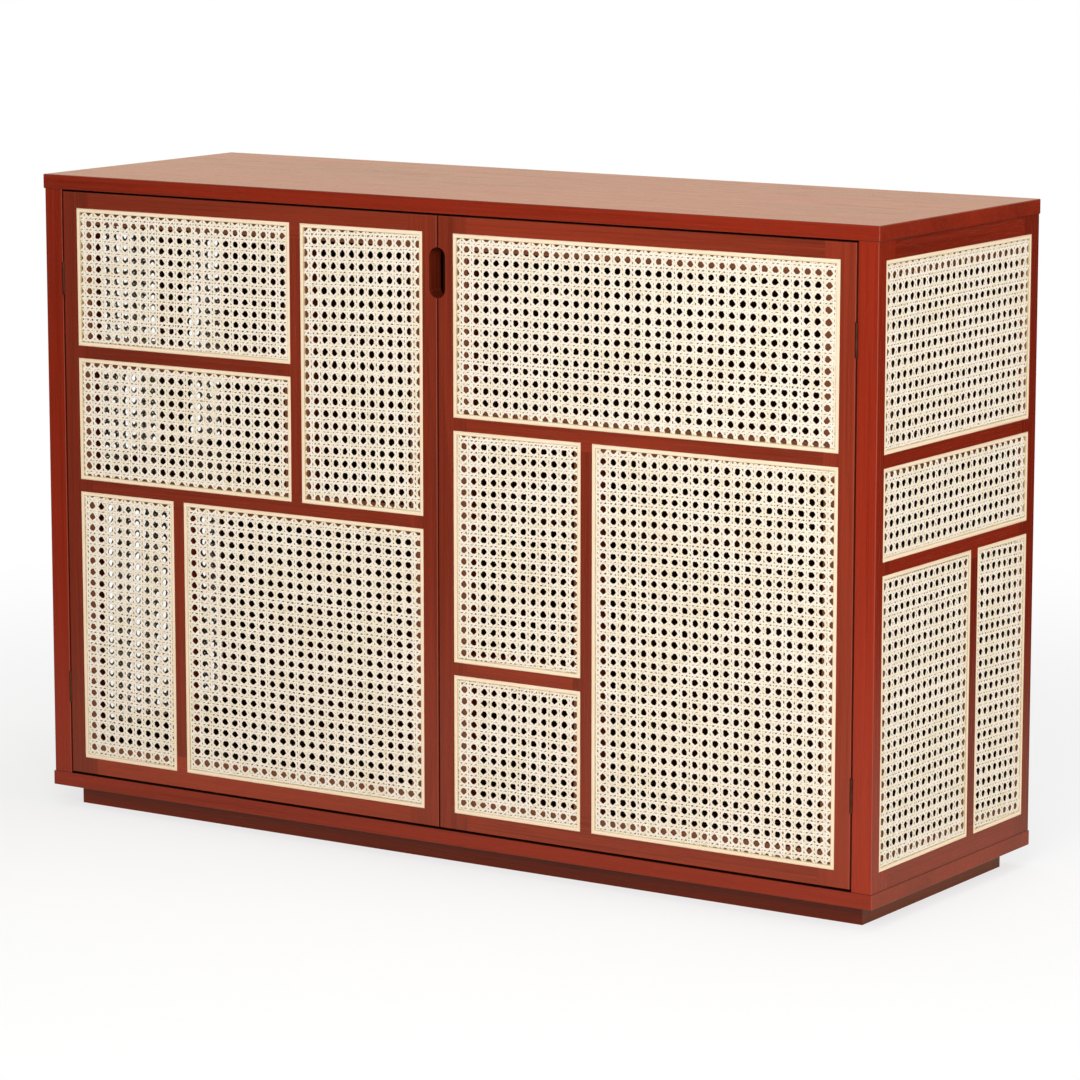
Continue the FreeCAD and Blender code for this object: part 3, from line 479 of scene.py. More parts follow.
def stained_ash(name, stain, tint, gloss, axis, board, routed, inner_shade):
    """Stained ash with its grain along one axis, cut from one of a few boards.

    Growth lines are the distance from the pith, made wavy by slow noise and divided by the ring's width. Pores are
    fine noise drawn out along the grain, deepest in the early wood, and streaks are the same at a larger scale. Each
    board's tone is partly its own and partly painted light. Painted shade darkens the side faces of upright boards
    and, as shade in the seams between parts, the level eased edges; a painted highlight lightens the upright eased
    edges. The seats, for which routed gives an axis and the frame's face, turn a paler brown, and where the inner
    shade's mask is 1 the colour is the dark one of the inside, painted shade.
    """
    made = Finish(name)
    shift, tone = BOARDS[board]
    place = tuple(a + b for a, b in zip(PITH[axis], shift))
    grain = made.node("ShaderNodeMapping", None,
                      {"Vector": made.here(), "Rotation": GRAIN_TURNS[axis], "Location": place})
    flat = made.node("ShaderNodeVectorMath", {"operation": "MULTIPLY"}, {0: grain, 1: (0.0, 1.0, 1.0)})
    radius = made.node("ShaderNodeVectorMath", {"operation": "LENGTH"}, {0: flat}, "Value")
    turns = (radius + made.noise(grain, ASH_WAVE) * WAVE_REACH) / stain.ring
    early = (1.0 - turns.math("FRACT")) ** EARLY_FADE
    streak = made.noise(grain, ASH_STREAK, detail=3.0, roughness=0.6)
    fibre = made.noise(grain, ASH_FIBRE, roughness=0.6)
    patch = made.noise(grain, ASH_PATCH)
    pore = made.noise(grain, ASH_PORE, detail=1.0).above(*PORE_EDGE) * (LATE_PORES + (1.0 - LATE_PORES) * early)
    shade = (USUAL_SHADE + (streak - EVEN) * STREAK_SHADE + (fibre - EVEN) * FIBRE_SHADE
             + (patch - EVEN) * PATCH_SHADE - early * EARLY_SHADE)
    tones = [toned(tint, tone * part) for part in (1.0 - stain.depth, 1.0, 1.0 + stain.lift)]
    dark = rgba(tones[0])
    skin = made.node("ShaderNodeValToRGB", {"stops": tuple(zip(SHADE_STOPS, tones))}, {"Fac": shade})
    skin = made.blend(pore * PORE_SHARE, skin, dark)
    # Painted shade on the faces of upright boards that look to the sides.
    if axis == UPRIGHT:
        across = made.part(made.facing(), "X")
        skin = made.blend(across.math("ABSOLUTE").above(*SIDEWAYS) * stain.side_face_shade, skin, dark)
    if routed:
        # The seats under the cane turn a paler brown.
        skin = made.blend(seats(made, *routed) * SEAT_SHARE, skin, rgba(stain.seat))
    upright, level = arrises(made)
    # Painted shade in the seams: the level eased edges take the board's dark tone.
    skin = made.blend(level * SEAM_SHADE_SHARE, skin, dark)
    # Painted highlight: the upright eased edges take a paler colour.
    skin = made.blend(upright * ARRIS_HIGHLIGHT_SHARE, skin, rgba(stain.arris_highlight))
    # Painted shade: the dark inside colour on the faces inside the case.
    if inner_shade:
        skin = made.blend(inner_shade(made), skin, rgba(stain.inside))
    height = STREAK_RISE * streak + FIBRE_RISE * fibre - pore * PORE_SINK
    made.surface(Base_Color=skin, Normal=made.bump(height, *ASH_RELIEF), IOR=gloss,
                 Roughness=stain.roughness + (streak - EVEN) * STREAK_ROUGHNESS + pore * PORE_ROUGHNESS)
    return made.material


# Noise of the cane, in cells to the metre, and the edge and share of its flecks.
CANE_PATCH = 28.0
CANE_FIBRE = 900.0
CANE_FLECK = 210.0
FLECK_EDGE = (0.70, 0.05)
FLECK_SHARE = 0.45
# How much a strand's own tone, the patches and the fibres warm it, and where its skin ends towards the pith, whose
# darker colour is partly the pith's own and partly painted shade.
TONE_WARMTH = 0.7
PATCH_WARMTH = 0.9
FIBRE_WARMTH = 0.4
SKIN_EDGE = (0.3, 0.3)
# Usual roughness of the cane and its swing, its relief and its refractive index.
CANE_ROUGHNESS = 0.62
CANE_SWING = 0.2
CANE_RELIEF = (0.05 * MM, 0.4)
CANE_GLOSS = 1.35


def woven_cane(weave):
    """Cane: each strand has its own tone, with slow patches, fine fibres and a few darker flecks.

    The glossy skin lies outwards, and the dull pith of the strand inwards, darker partly as painted shade.
    """
    made = Finish("woven_cane")
    tone = made.node("ShaderNodeAttribute", {"attribute_name": "tone"}, None, "Fac")
    outside = made.node("ShaderNodeAttribute", {"attribute_name": "outside"}, None, "Fac")
    here = made.here()
    patch = made.noise(here, CANE_PATCH)
    fibre = made.noise(here, CANE_FIBRE)
    fleck = made.noise(here, CANE_FLECK, detail=1.0).above(*FLECK_EDGE)
    warmth = tone * TONE_WARMTH + (patch - EVEN) * PATCH_WARMTH + (fibre - EVEN) * FIBRE_WARMTH
    skin = made.blend(warmth.above(*WHOLE_STEP), rgba(weave.pale), rgba(weave.warm))
    skin = made.blend(fleck * FLECK_SHARE, skin, rgba(weave.stain))
    # Painted shade, in part: the strands' inner side takes the darker pith colour.
    made.surface(Base_Color=made.blend(outside.above(*SKIN_EDGE), rgba(weave.pith), skin),
                 Roughness=CANE_ROUGHNESS + (fibre - EVEN) * CANE_SWING, Normal=made.bump(fibre, *CANE_RELIEF),
                 IOR=CANE_GLOSS)
    return made.material


# Noise of the reed, in cells to the metre along it and to its width across. Its map has no third axis.
REED_FIBRE = (18.0, 4.4, 1.0)
REED_PATCH = (6.0, 0.4, 1.0)
# Usual warmth of the reed and what fibres and patches add to it, and the edge and share of the painted shade in the
# crevice next to the cane.
REED_WARMTH = 0.4
REED_FIBRE_WARMTH = 1.2
REED_PATCH_WARMTH = 0.8
CREVICE_SHADE_EDGE = (0.82, 0.12)
CREVICE_SHADE_SHARE = 0.8
# Usual roughness of the reed and its swing, and its relief.
REED_ROUGHNESS = 0.5
REED_SWING = 0.2
REED_RELIEF = (0.1 * MM, 0.4)


def bent_reed(spline):
    """Reed spline: pale and warm fibres along its length, which its UV map's first axis follows.

    The second axis goes from the outer shoulder at 0 to the inner one at 1, where painted shade darkens the crevice
    next to the cane.
    """
    made = Finish("bent_reed")
    along = made.node("ShaderNodeTexCoord", output="UV")
    fibre = made.noise(along, REED_FIBRE, detail=3.0, roughness=0.6)
    patch = made.noise(along, REED_PATCH)
    warmth = REED_WARMTH + (fibre - EVEN) * REED_FIBRE_WARMTH + (patch - EVEN) * REED_PATCH_WARMTH
    skin = made.blend(warmth.above(*WHOLE_STEP), rgba(spline.pale), rgba(spline.warm))
    # Painted shade along the reed's inner shoulder, in the crevice next to the cane.
    skin = made.blend(made.part(along, "Y").above(*CREVICE_SHADE_EDGE) * CREVICE_SHADE_SHARE, skin, rgba(spline.crevice_shade))
    made.surface(Base_Color=skin, Roughness=REED_ROUGHNESS + (fibre - EVEN) * REED_SWING,
                 Normal=made.bump(fibre, *REED_RELIEF))
    return made.material


# Noise of the metal, in cells to the metre, the clouds' edge and tone, what brush and clouds roughen, and the relief.
METAL_BRUSH = (90.0, 90.0, 1400.0)
METAL_CLOUD = 120.0
CLOUD_EDGE = (0.52, 0.2)
CLOUD_TONE = 0.62
BRUSH_SWING = 0.25
CLOUD_SWING = 0.15
METAL_RELIEF = (0.04 * MM, 0.3)
BRASS_ROUGHNESS = 0.48
STEEL_ROUGHNESS = 0.3


def worn_metal(name, tint, roughness):
    """Plated metal with a brushed, slightly cloudy skin."""
    made = Finish(name)
    here = made.here()
    brush = made.noise(here, METAL_BRUSH)
    cloud = made.noise(here, METAL_CLOUD, detail=3.0)
    made.surface(Base_Color=made.blend(cloud.above(*CLOUD_EDGE), rgba(tint), rgba(toned(tint, CLOUD_TONE))),
                 Roughness=roughness + (brush - EVEN) * BRUSH_SWING + (cloud - EVEN) * CLOUD_SWING, Metallic=1.0,
                 Normal=made.bump(brush, *METAL_RELIEF))
    return made.material


# Grain of the plastic in cells to the metre, its sparks' tone, its usual roughness and the swing, and its relief.
PLASTIC_SPARK = 1500.0
SPARK_TONE = 1.4
PLASTIC_ROUGHNESS = 0.5
PLASTIC_SWING = 0.2
PLASTIC_RELIEF = (0.06 * MM, 0.5)


def grained_plastic(tint):
    """Moulded plastic with a fine sparked grain."""
    made = Finish("grained_plastic")
    spark = made.noise(made.here(), PLASTIC_SPARK)
    made.surface(Base_Color=made.blend(spark, rgba(tint), rgba(toned(tint, SPARK_TONE))),
                 Roughness=PLASTIC_ROUGHNESS + (spark - EVEN) * PLASTIC_SWING,
                 Normal=made.bump(spark, *PLASTIC_RELIEF))
    return made.material


# Flecks of the beech in cells to the metre, their edge and tone, and the usual roughness and its swing.
BEECH_FLECK = (60.0, 600.0, 600.0)
BEECH_EDGE = (0.6, 0.15)
BEECH_TONE = 0.7
BEECH_ROUGHNESS = 0.6
BEECH_SWING = 0.2


def bare_beech(tint):
    """Bare wood of the dowels, with short flecks."""
    made = Finish("bare_beech")
    fleck = made.noise(made.here(), BEECH_FLECK)
    made.surface(Base_Color=made.blend(fleck.above(*BEECH_EDGE), rgba(tint), rgba(toned(tint, BEECH_TONE))),
                 Roughness=BEECH_ROUGHNESS + (fleck - EVEN) * BEECH_SWING)
    return made.material


class Pane:
    """One rectangular pane of a panelled frame: its lower left corner on the frame's face, and its directions."""

    def __init__(self, corner, across, width, height):
        self.corner = corner
        self.across = across
        self.outward = np.cross(across, UP)
        self.width = width
        self.height = height

    def place(self, right, up, depth):
        """Points of the frame from distances to the right, up and inwards, as whole arrays."""
        return (self.corner + right[..., None] * self.across + up[..., None] * UP
                - depth[..., None] * self.outward)


# Corners of a CAD mesh this close are one.
WELD = 0.01 * MM


def solids_of(node):
    """Boxes of a node's separate solids, as low and high corners.

    Corners at one place are merged. Then each triangle hands the lowest label of its corners to all three, again
    and again until no label changes, so each solid ends with one label.
    """
    mesh = frame["nodes"][node].data
    points = np.empty(len(mesh.vertices) * 3, np.float32)
    mesh.vertices.foreach_get("co", points)
    points = points.reshape(-1, 3)
    mesh.calc_loop_triangles()
    corners = np.empty(len(mesh.loop_triangles) * 3, np.int32)
    mesh.loop_triangles.foreach_get("vertices", corners)
    spots, merged = np.unique(np.round(points / WELD).astype(np.int64), axis=0, return_inverse=True)
    corners = merged.ravel()[corners].reshape(-1, 3)
    label = np.arange(len(spots))
    while True:
        lowest = np.repeat(label[corners].min(axis=1), 3)
        handed = label.copy()
        np.minimum.at(handed, corners.ravel(), lowest)
        if np.array_equal(handed, label):
            break
        label = handed
    places = spots * WELD
    return [(places[label == one].min(axis=0), places[label == one].max(axis=0)) for one in np.unique(label)]


def face_of(name):
    """The directions to the right and outwards of a panelled frame, and how far out its face lies."""
    across = np.array(PANEL_FRAMES[name][1])
    outward = np.cross(across, UP)
    return across, outward, max(np.dot(corner, outward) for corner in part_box(f"{name}_top_rail"))


def panes_of(name):
    """The panes of one frame, from the outlines of its CAD splines, top row first and then from left to right."""
    across, outward, face = face_of(name)
    found = []
    for low, high in solids_of(f"{name}_splines"):
        ends = sorted((np.dot(low, across), np.dot(high, across)))
        corner = ends[0] * across + low[2] * UP + face * outward
        found.append(Pane(corner, across, ends[1] - ends[0], high[2] - low[2]))
    return sorted(found, key=lambda pane: (-round((pane.corner[2] + pane.height) / MM), np.dot(pane.corner, across)))


def new_piece(name, points, faces, material, body, node):
    """A closed mesh piece in place, riding on its body and standing for its CAD node."""
    mesh = bpy.data.meshes.new(name)
    mesh.from_pydata(points, [], faces)
    mesh.validate()
    mesh.polygons.foreach_set("use_smooth", np.ones(len(mesh.polygons), bool))
    mesh.materials.append(material)
    piece = bpy.data.objects.new(name, mesh)
    bpy.context.scene.collection.objects.link(piece)
    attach(piece, body)
    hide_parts(node)
    return piece


# A strand's section: sideways in half widths, and outwards in thicknesses.
STRAND_SIDE = np.array((-1.0, -0.55, 0.55, 1.0))
STRAND_RISE = np.array((-0.5, 0.5, 0.5, -0.5))
SECTION = len(STRAND_SIDE)
STRAND_SHARP = math.radians(60.0)
# Holes that are counted before the pane's first one and past its last one, so that strands reach all edges.
HOLES_BEFORE = 2.0
HOLES_AFTER = 3.0
# Pairs run midway between holes.
MIDWAY = 0.5


class Weave:
    """The strands of one pane, gathered as arrays of points and faces.

    Places on the weave are counted in holes, to the right and down from the first hole.
    """

    def __init__(self, settings, pane, lay, draw):
        self.settings = settings
        self.pane = pane
        self.draw = draw
        self.points = []
        self.faces = []
        self.tones = []
        self.count = 0
        hole, *steps = np.array(lay).reshape(3, 2) * settings.pitch
        self.hole = np.array((hole[0], pane.height - hole[1]))
        self.steps = np.array(steps) * (1.0, -1.0)
        self.low = np.full(2, settings.margin)
        self.high = np.array((pane.width, pane.height)) - settings.margin
        self.holes = np.arange(-HOLES_BEFORE, max(pane.width, pane.height) / settings.pitch + HOLES_AFTER)

    def strand(self, base, step, stops, sways, dips):
        """One flat strand: a four-sided section carried along a straight line.

        The line goes through the base by whole steps and is cut off at the weave's edges. At each stop, counted in
        steps, the strand has a sideways sway and a dip below the weave's middle, and both go straight from stop to
        stop. At the weave's edges it turns down into the groove. The section's points lie half a width to each side
        and half a thickness up and down, and its ends are closed.
        """
        weave = self.settings
        start = self.hole + base @ self.steps
        stride = step @ self.steps
        size = np.linalg.norm(stride)
        with np.errstate(divide="ignore"):
            cuts = np.stack((self.low - start, self.high - start)) / stride
        begin = cuts.min(axis=0).max()
        end = cuts.max(axis=0).min()
        if (end - begin) * size < weave.strand_width:
            return
        gap = weave.strand_thickness / size
        tuck = weave.tuck / size
        inside = stops[(stops > begin + gap) & (stops < end - gap)]
        along = np.unique(np.concatenate(((begin, begin + tuck, end - tuck, end), inside)))
        errors = self.draw.normal(0.0, weave.unevenness, len(stops)) + self.draw.normal(0.0, weave.unevenness)
        sway = np.interp(along, stops, sways + errors)
        middle = start + along[:, None] * stride
        edge = np.minimum(middle - self.low, self.high - middle).min(axis=1)
        turned = np.clip(1.0 - edge / weave.tuck, 0.0, 1.0) * weave.tuck_depth
        dip = np.interp(along, stops, dips) + weave.middle_depth + turned
        side = np.array((stride[1], -stride[0])) / size
        offset = sway[:, None] + STRAND_SIDE * (weave.strand_width / 2)
        flat = middle[:, None] + offset[..., None] * side
        depth = dip[:, None] - STRAND_RISE * weave.strand_thickness
        self.points.append(self.pane.place(flat[..., 0], flat[..., 1], depth).reshape(-1, 3))
        rings = np.arange(len(along) - 1)[:, None] * SECTION + self.count
        ring = np.arange(SECTION)
        following = (ring + 1) % SECTION
        ahead = rings + SECTION
        walls = np.stack((rings + ring, rings + following, ahead + following, ahead + ring), -1)
        last = self.count + (len(along) - 1) * SECTION
        caps = np.stack((self.count + ring[::-1], last + ring))
        self.faces.append(np.concatenate((walls.reshape(-1, SECTION), caps)))
        self.tones.append(np.full(len(along) * SECTION, self.draw.random()))
        self.count += len(along) * SECTION

    def pairs(self, upright):
        """Both strands of every pair one way, upright or level.

        A pair runs midway between two rows of holes. Its strands spread beside holes and close up where the other
        pairs cross. The first strand goes under the first and over the second of each pair that it crosses, and the
        second strand the other way round.
        """
        weave = self.settings
        step = np.array((0.0, 1.0) if upright else (1.0, 0.0))
        cross = step[::-1]
        near = weave.pair_near / np.linalg.norm(step @ self.steps)
        aside = weave.pair_near / np.linalg.norm(cross @ self.steps)
        stops = np.stack((self.holes, self.holes + MIDWAY - near, self.holes + MIDWAY + near), -1).ravel()
        spread = np.tile((weave.pair_far - weave.pair_near, 0.0, 0.0), len(self.holes))
        dips = np.tile((0.0, weave.pair_rise, -weave.pair_rise), len(self.holes))
        turn = -1.0 if upright else 1.0
        for line in self.holes + MIDWAY:
            for which in (-1.0, 1.0):
                base = (line + which * aside) * cross
                self.strand(base, step, stops, turn * which * spread, -turn * which * dips)

    def diagonals(self, rising):
        """Every diagonal strand one way, rising or falling to the right.

        A diagonal crosses the pairs midway between two holes, level and upright pairs in turn. It stays level for a
        short stretch at each. A rising one goes over level pairs and under upright ones, and a falling one does the
        opposite.
        """
        weave = self.settings
        slope = 1.0 if rising else -1.0
        step = np.array((MIDWAY, -MIDWAY * slope))
        rest = weave.diagonal_rest / np.linalg.norm(step @ self.steps)
        crossings = np.arange(2 * self.holes[0], 2 * self.holes[-1])
        stops = np.stack((crossings - rest, crossings + rest), -1).ravel()
        dips = np.repeat(np.where(crossings % 2 == 0, -slope, slope), 2) * weave.diagonal_rise
        straight = np.zeros(len(stops))
        rows = np.arange(self.holes[0] - len(self.holes), self.holes[-1] + len(self.holes)) + MIDWAY
        for row in rows:
            self.strand(np.array((0.0, row)), step, stops, straight, dips)

    def fill(self):
        """Weaves the whole pane."""
        self.pairs(True)
        self.pairs(False)
        self.diagonals(True)
        self.diagonals(False)
        return np.concatenate(self.points), np.concatenate(self.faces), np.concatenate(self.tones)


class SIDEBOARD_OT_weave_cane(bpy.types.Operator):
    """Weaves the cane of every pane of the doors and sides"""

    bl_idname = "sideboard.weave_cane"
    bl_label = "Weave cane"

    def execute(self, context):
        weave = context.scene.sideboard_weave
        cane = woven_cane(weave)
        draw = np.random.default_rng(weave.seed)
        for name, (body, _) in PANEL_FRAMES.items():
            for number, (pane, lay) in enumerate(zip(panes_of(name), CANE_LAYS[name]), 1):
                points, faces, tones = Weave(weave, pane, lay, draw).fill()
                piece = new_piece(f"{name}_woven_cane_{number}", points, faces, cane, body,
                                  f"{name}_cane")
                outside = np.resize(STRAND_RISE > 0.0, len(points))
                for key, values in (("tone", tones), ("outside", outside)):
                    layer = piece.data.attributes.new(key, "FLOAT", "POINT")
                    layer.data.foreach_set("value", values.astype(np.float32))
                piece.data.set_sharp_from_angle(angle=STRAND_SHARP)
        return {"FINISHED"}


# Points over a reed's crown, its sharp edges, and the corners of a pane with the way inwards from each.
REED_STEPS = 9
REED_SHARP = math.radians(40.0)
RING_CORNERS = np.array(((0.0, 0.0), (1.0, 0.0), (1.0, 1.0), (0.0, 1.0)))
RING_INWARD = np.array(((1.0, 1.0), (-1.0, 1.0), (-1.0, -1.0), (1.0, -1.0)))


def reed_section(spline, top, bottom):
    """A reed's section as distances inwards from the pane's edge and depths below the face.

    The top is half an ellipse, from shoulder to shoulder over the crown; two walls and a flat foot close it.
    """
    half = spline.width / 2 - spline.slack
    turn = np.linspace(math.pi, 0.0, REED_STEPS)
    inwards = spline.width / 2 + half * np.cos(turn)
    depth = top + spline.crown * (1.0 - np.sin(turn))
    inwards = np.concatenate((inwards, (inwards[-1], inwards[0])))
    depth = np.concatenate((depth, (bottom, bottom)))
    return inwards, depth


def bend_reed(spline, pane, top, bottom):
    """A reed's section carried round a pane, with mitred corners.

    At each of the pane's corners, a section point lies its own distance inwards along both edges. Quads join each
    corner's section to the next. The UV map has metres along the reed, and across it the way round the section as a
    share of the way over the crown.
    """
    inwards, depth = reed_section(spline, top, bottom)
    count = len(inwards)
    flat = RING_CORNERS[:, None] * (pane.width, pane.height) + RING_INWARD[:, None] * inwards[None, :, None]
    points = pane.place(flat[..., 0], flat[..., 1], np.broadcast_to(depth, flat.shape[:2])).reshape(-1, 3)
    sides = len(RING_CORNERS)
    side = np.arange(sides)[:, None]
    ring = np.arange(count)
    after = (ring + 1) % count
    ahead = (side + 1) % sides
    faces = np.stack((side * count + ring, ahead * count + ring, ahead * count + after, side * count + after), -1)
    steps = np.hypot(np.diff(inwards, append=inwards[0]), np.diff(depth, append=depth[0]))
    around = np.concatenate(((0.0,), np.cumsum(steps)))
    around = around / around[REED_STEPS - 1]
    edges = np.where(side % 2 == 0, pane.width, pane.height)
    begin = np.concatenate(((0.0,), np.cumsum(edges.ravel())[:-1]))[:, None]
    along = np.stack(np.broadcast_arrays(begin + inwards, begin + edges - inwards,
                                         begin + edges - inwards[after], begin + inwards[after]), -1)
    across = np.broadcast_to(np.stack((around[:-1], around[:-1], around[1:], around[1:]), -1), along.shape)
    uv = np.stack((along, across), -1)
    return points, faces.reshape(-1, 4), uv.reshape(-1, 2)


class SIDEBOARD_OT_bend_splines(bpy.types.Operator):
    """Bends a crowned reed round every pane, over the edge of the cane"""

    bl_idname = "sideboard.bend_splines"
    bl_label = "Bend splines"

    def execute(self, context):
        spline = context.scene.sideboard_spline
        reed = bent_reed(spline)
        for name, (body, _) in PANEL_FRAMES.items():
            _, outward, face = face_of(name)
            levels = sorted(face - np.dot(corner, outward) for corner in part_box(f"{name}_splines"))
            for number, pane in enumerate(panes_of(name), 1):
                points, faces, uv = bend_reed(spline, pane, *levels)
                piece = new_piece(f"{name}_reed_spline_{number}", points, faces, reed, body,
                                  f"{name}_splines")
                layer = piece.data.uv_layers.new(name="reed")
                layer.data.foreach_set("uv", uv.astype(np.float32).ravel())
                piece.data.set_sharp_from_angle(angle=REED_SHARP)
        return {"FINISHED"}


def nodes_in(slot):
    """Names of the CAD nodes that take this material slot, in order."""
    return sorted(part["node"] for part in frame["record"]["subparts"] if part["material_slot"] == slot)


def dress(node, material):
    """Gives a CAD node one material."""
    mesh = frame["nodes"][node].data
    mesh.materials.clear()
    mesh.materials.append(material)


# Pieces of the inside, dark as painted shade, and the starts of the names of pieces of the darker and of the lighter
# board tone, which is partly their own and partly painted light.
INSIDE = ("back_panel", "centre_partition", "left_shelf", "right_shelf")
SHADED_DARK_BOARD = ("right_side_", "left_door_hinge_stile", "left_door_short_rail")
LIT_LIGHT_BOARD = ("right_side_front_post", "right_door_hinge_stile", "right_door_top_rail", "right_door_bottom_rail",
               "right_door_cross_rail", "right_door_short_rail", "left_door_bottom_rail")
# The axis that the cane of each kind of frame looks along, and where each kind takes the dark inside colour as
# painted shade.
FACE_AXES = {"side": AXES.index("X"), "door": AXES.index("Y")}
INNER_SHADES = {"side": side_inner_shade, "case": board_inner_shade}


def kind_of(node):
    """What a wooden piece belongs to: the inside, the plinth, a framed side, a door, or else the case."""
    if node in INSIDE:
        return "inside"
    if node.startswith("plinth_"):
        return "plinth"
    return next((kind for kind in FACE_AXES if f"_{kind}_" in node), "case")


def board_of(node):
    """Number of the board tone of a wooden piece, partly its own and partly painted light: dark, middling or light.
    """
    if node.startswith(LIT_LIGHT_BOARD):
        return LIGHT
    return DARK if node.startswith(SHADED_DARK_BOARD) else MIDDLING


class SIDEBOARD_OT_stain_wood(bpy.types.Operator):
    """Stains every wooden board, with the grain along its longest side"""

    bl_idname = "sideboard.stain_wood"
    bl_label = "Stain wood"

    def execute(self, context):
        stain = context.scene.sideboard_stain
        tints = {"case": stain.case, "side": stain.case, "door": stain.door, "plinth": stain.plinth,
                 "inside": stain.inside}
        made = {}
        for node in nodes_in("wood"):
            low, high = (np.array(corner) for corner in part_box(node))
            kind = kind_of(node)
            axis = int(np.argmax(high - low))
            board = board_of(node)
            name = f"{kind}_ash_{AXES[axis]}_{board}"
            if name not in made:
                routed = None
                if kind in FACE_AXES:
                    out = FACE_AXES[kind]
                    routed = AXES[out], float(max(abs(low[out]), abs(high[out])))
                gloss = stain.bare if kind == "inside" else stain.gloss
                made[name] = stained_ash(name, stain, tints[kind], gloss, axis, board, routed, INNER_SHADES.get(kind))
            dress(node, made[name])
        return {"FINISHED"}


class SIDEBOARD_OT_finish_fittings(bpy.types.Operator):
    """Finishes the hinges, screws, pins, strikes, catches and dowels"""

    bl_idname = "sideboard.finish_fittings"
    bl_label = "Finish fittings"

    def execute(self, context):
        fitting = context.scene.sideboard_fitting
        finishes = {
            "hinge_brass": worn_metal("darkened_brass", fitting.brass, BRASS_ROUGHNESS),
            "steel": worn_metal("plated_steel", fitting.steel, STEEL_ROUGHNESS),
            "catch_plastic": grained_plastic(fitting.plastic),
            "dowel_wood": bare_beech(fitting.beech),
        }
        for slot, material in finishes.items():
            for node in nodes_in(slot):
                dress(node, material)
        return {"FINISHED"}


def seen_directly(finish):
    """1 for what the camera sees itself, in gloss or through glass, and 0 for light on the object."""
    rays = ("Is Camera Ray", "Is Glossy Ray", "Is Transmission Ray")
    return largest(*(finish.node("ShaderNodeLightPath", output=ray) for ray in rays))


# Mottling of the floor in cells to the metre and its tone, the roughness and the refractive index.
FLOOR_MOTTLE = 3.0
MOTTLE_TONE = 0.985
FLOOR_ROUGHNESS = 0.9
FLOOR_GLOSS = 1.05


def pale_floor(stage):
    """Plain pale floor: the camera sees part of it as even white near the object, and all of it further out.

    In gloss the floor glows with the sheen colour by the object and black beyond it, a painted reflection in the
    lacquer.
    """
    made = Finish("pale_floor")
    here = made.here()
    darker = rgba(toned(stage.floor, MOTTLE_TONE))
    made.surface(Base_Color=made.blend(made.noise(here, FLOOR_MOTTLE), rgba(stage.floor), darker),
                 Roughness=FLOOR_ROUGHNESS, IOR=FLOOR_GLOSS)
    distance = made.node("ShaderNodeVectorMath", {"operation": "LENGTH"}, {0: here}, "Value")
    reach = (stage.glow_end - stage.glow_start) / 2
    further = distance.above(stage.glow_start + reach, reach)
    # Painted reflection: glossy rays see the sheen colour near the object and black further out, not the lit floor.
    glossy = made.node("ShaderNodeLightPath", output="Is Glossy Ray")
    backdrop_and_reflection = made.blend(glossy, rgba(WHITE), made.blend(further, rgba(stage.sheen), rgba(BLACK)))
    white = made.node("ShaderNodeEmission", None, {"Color": backdrop_and_reflection, "Strength": 1.0})
    mixed = made.node("ShaderNodeMixShader", None, {
        0: seen_directly(made) * (stage.floor_glow + (1.0 - stage.floor_glow) * further),
        1: Socket(made, made.shader.outputs[0]),
        2: white,
    })
    output = next(n for n in made.tree.nodes if n.type == "OUTPUT_MATERIAL")
    made.feed(output.inputs["Surface"], mixed)
    return made.material


class WorldFinish(Finish):
    """The world's nodes, built with the same calls as a material's."""

    def __init__(self, world):
        world.use_nodes = True
        self.tree = world.node_tree
        self.shader = next(n for n in self.tree.nodes if n.type == "BACKGROUND")


# Radius of the floor in metres, and the edges of its rim.
FLOOR_RADIUS = 40.0
FLOOR_EDGES = 96


def lay_floor(stage):
    """A flat disc: points on one circle, joined to a middle point."""
    turn = np.linspace(0.0, 2 * math.pi, FLOOR_EDGES, endpoint=False)
    rim = np.stack((np.cos(turn), np.sin(turn), np.zeros_like(turn)), -1) * FLOOR_RADIUS
    points = np.concatenate((np.zeros((1, 3)), rim))
    edge = np.arange(FLOOR_EDGES)
    faces = np.stack((np.zeros_like(edge), edge + 1, (edge + 1) % FLOOR_EDGES + 1), -1)
    mesh = bpy.data.meshes.new("floor")
    mesh.from_pydata(points, [], faces)
    mesh.materials.append(pale_floor(stage))
    floor = bpy.data.objects.new("floor", mesh)
    bpy.context.scene.collection.objects.link(floor)


def hang_lamp(name, power, place, width):
    """A square soft box that faces the middle of the object."""
    lamp = bpy.data.lights.new(name, "AREA")
    lamp.energy = power
    lamp.size = width
    holder = bpy.data.objects.new(name, lamp)
    holder.location = place
    holder.rotation_euler = (MIDDLE - Vector(place)).to_track_quat("-Z", "Y").to_euler()
    bpy.context.scene.collection.objects.link(holder)


def light_world(scene, stage):
    """Even light from all round: plain white to the camera, and in gloss a warm tint, a painted reflection."""
    scene.world = bpy.data.worlds.new("studio")
    made = WorldFinish(scene.world)
    glossy = made.node("ShaderNodeLightPath", output="Is Glossy Ray")
    seen = seen_directly(made)
    made.surface(Color=made.blend(glossy, rgba(WHITE), rgba(stage.reflection_tint)),
                 Strength=seen + (1.0 - seen) * stage.ambient)


def aim_camera(scene, stage):
    """A camera at its distance from the target, on the line that azimuth and elevation give."""
    camera = bpy.data.objects.new("camera", bpy.data.cameras.new("camera"))
    camera.data.lens = stage.lens
    level = math.cos(stage.elevation)
    back = Vector((math.sin(stage.azimuth) * level, -math.cos(stage.azimuth) * level, math.sin(stage.elevation)))
    camera.location = Vector(stage.target) + back * stage.distance
    camera.rotation_euler = (-back).to_track_quat("-Z", "Y").to_euler()
    scene.collection.objects.link(camera)
    scene.camera = camera


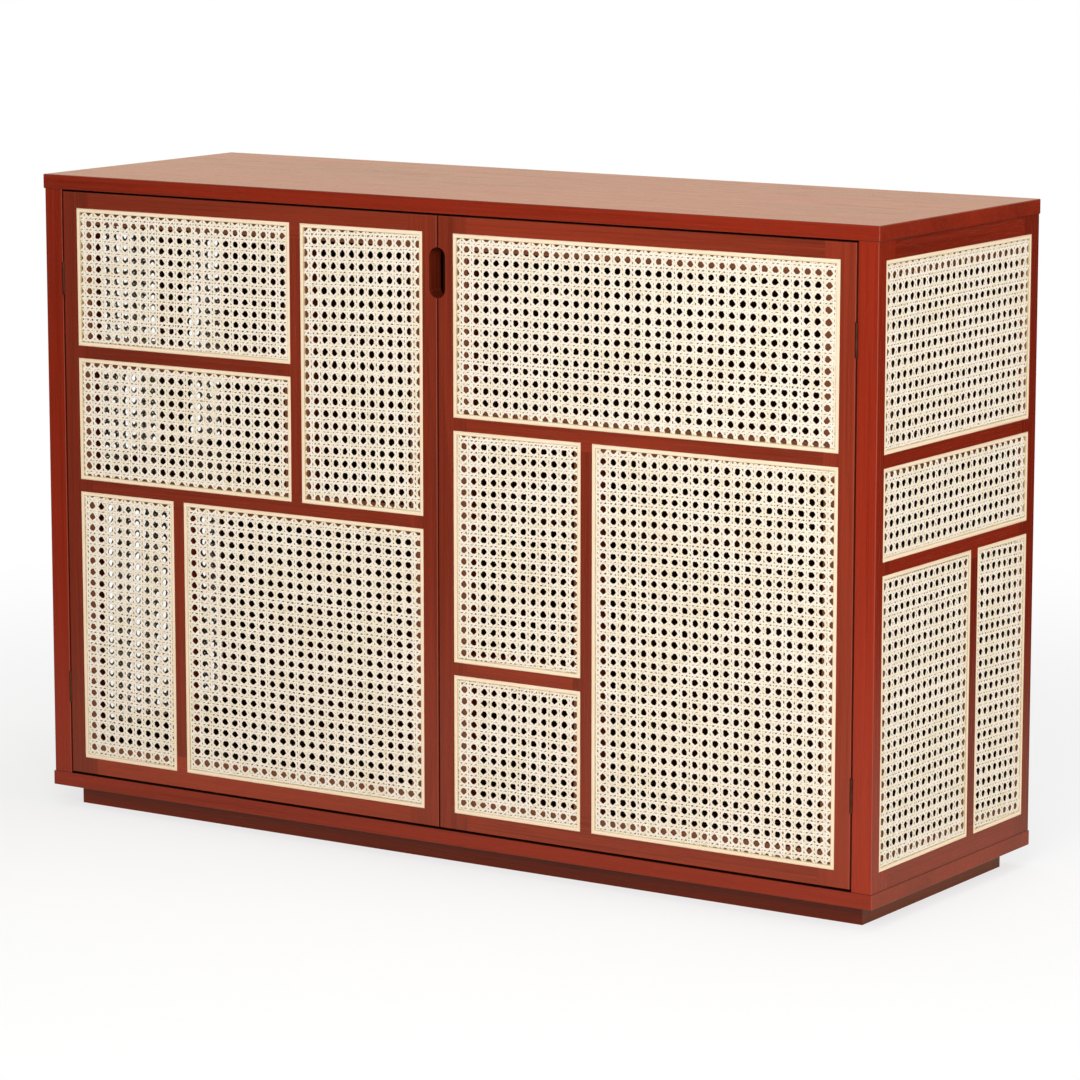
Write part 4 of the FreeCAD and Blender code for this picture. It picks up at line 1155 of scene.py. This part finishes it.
# Place and width of each soft box, in metres, by the setting that holds its power.
LAMPS = {
    "key": ((1.5, -3.2, 2.0), 2.2),
    "fill": ((4.0, 0.2, 1.6), 2.0),
    "roof": ((0.3, 0.4, 4.2), 3.0),
}


class SIDEBOARD_OT_set_stage(bpy.types.Operator):
    """Sets the floor, the lamps, the even light and the camera"""

    bl_idname = "sideboard.set_stage"
    bl_label = "Set stage"

    def execute(self, context):
        scene = context.scene
        stage = scene.sideboard_stage
        lay_floor(stage)
        for name, (place, width) in LAMPS.items():
            hang_lamp(f"{name}_lamp", getattr(stage, name), place, width)
        light_world(scene, stage)
        aim_camera(scene, stage)
        scene.view_settings.view_transform = "Standard"
        return {"FINISHED"}


class SIDEBOARD_PT_panel(bpy.types.Panel):
    """Sidebar list of the sideboard's steps and settings"""

    bl_label = "Sideboard"
    bl_space_type = "VIEW_3D"
    bl_region_type = "UI"
    bl_category = "Sideboard"

    def draw(self, context):
        for step in STEPS:
            self.layout.operator(step.bl_idname)
        for name in SETTINGS:
            group = getattr(context.scene, name)
            for key in group.bl_rna.properties.keys():
                if key not in ("rna_type", "name"):
                    self.layout.prop(group, key)


STEPS = (SIDEBOARD_OT_stain_wood, SIDEBOARD_OT_finish_fittings, SIDEBOARD_OT_weave_cane, SIDEBOARD_OT_bend_splines,
         SIDEBOARD_OT_set_stage)
SETTINGS = {
    "sideboard_weave": WeaveSettings,
    "sideboard_spline": SplineSettings,
    "sideboard_stain": StainSettings,
    "sideboard_fitting": FittingSettings,
    "sideboard_stage": StageSettings,
}


def register():
    """Registers the settings, the steps and the panel."""
    for name, group in SETTINGS.items():
        bpy.utils.register_class(group)
        setattr(bpy.types.Scene, name, PointerProperty(type=group))
    for step in (*STEPS, SIDEBOARD_PT_panel):
        bpy.utils.register_class(step)


def unregister():
    """Takes them out again, last first."""
    for step in (SIDEBOARD_PT_panel, *reversed(STEPS)):
        bpy.utils.unregister_class(step)
    for name, group in reversed(SETTINGS.items()):
        delattr(bpy.types.Scene, name)
        bpy.utils.unregister_class(group)


def main():
    register()
    bpy.ops.sideboard.stain_wood()
    bpy.ops.sideboard.finish_fittings()
    bpy.ops.sideboard.weave_cane()
    bpy.ops.sideboard.bend_splines()
    bpy.ops.sideboard.set_stage()


if __name__ == "__main__":
    main()
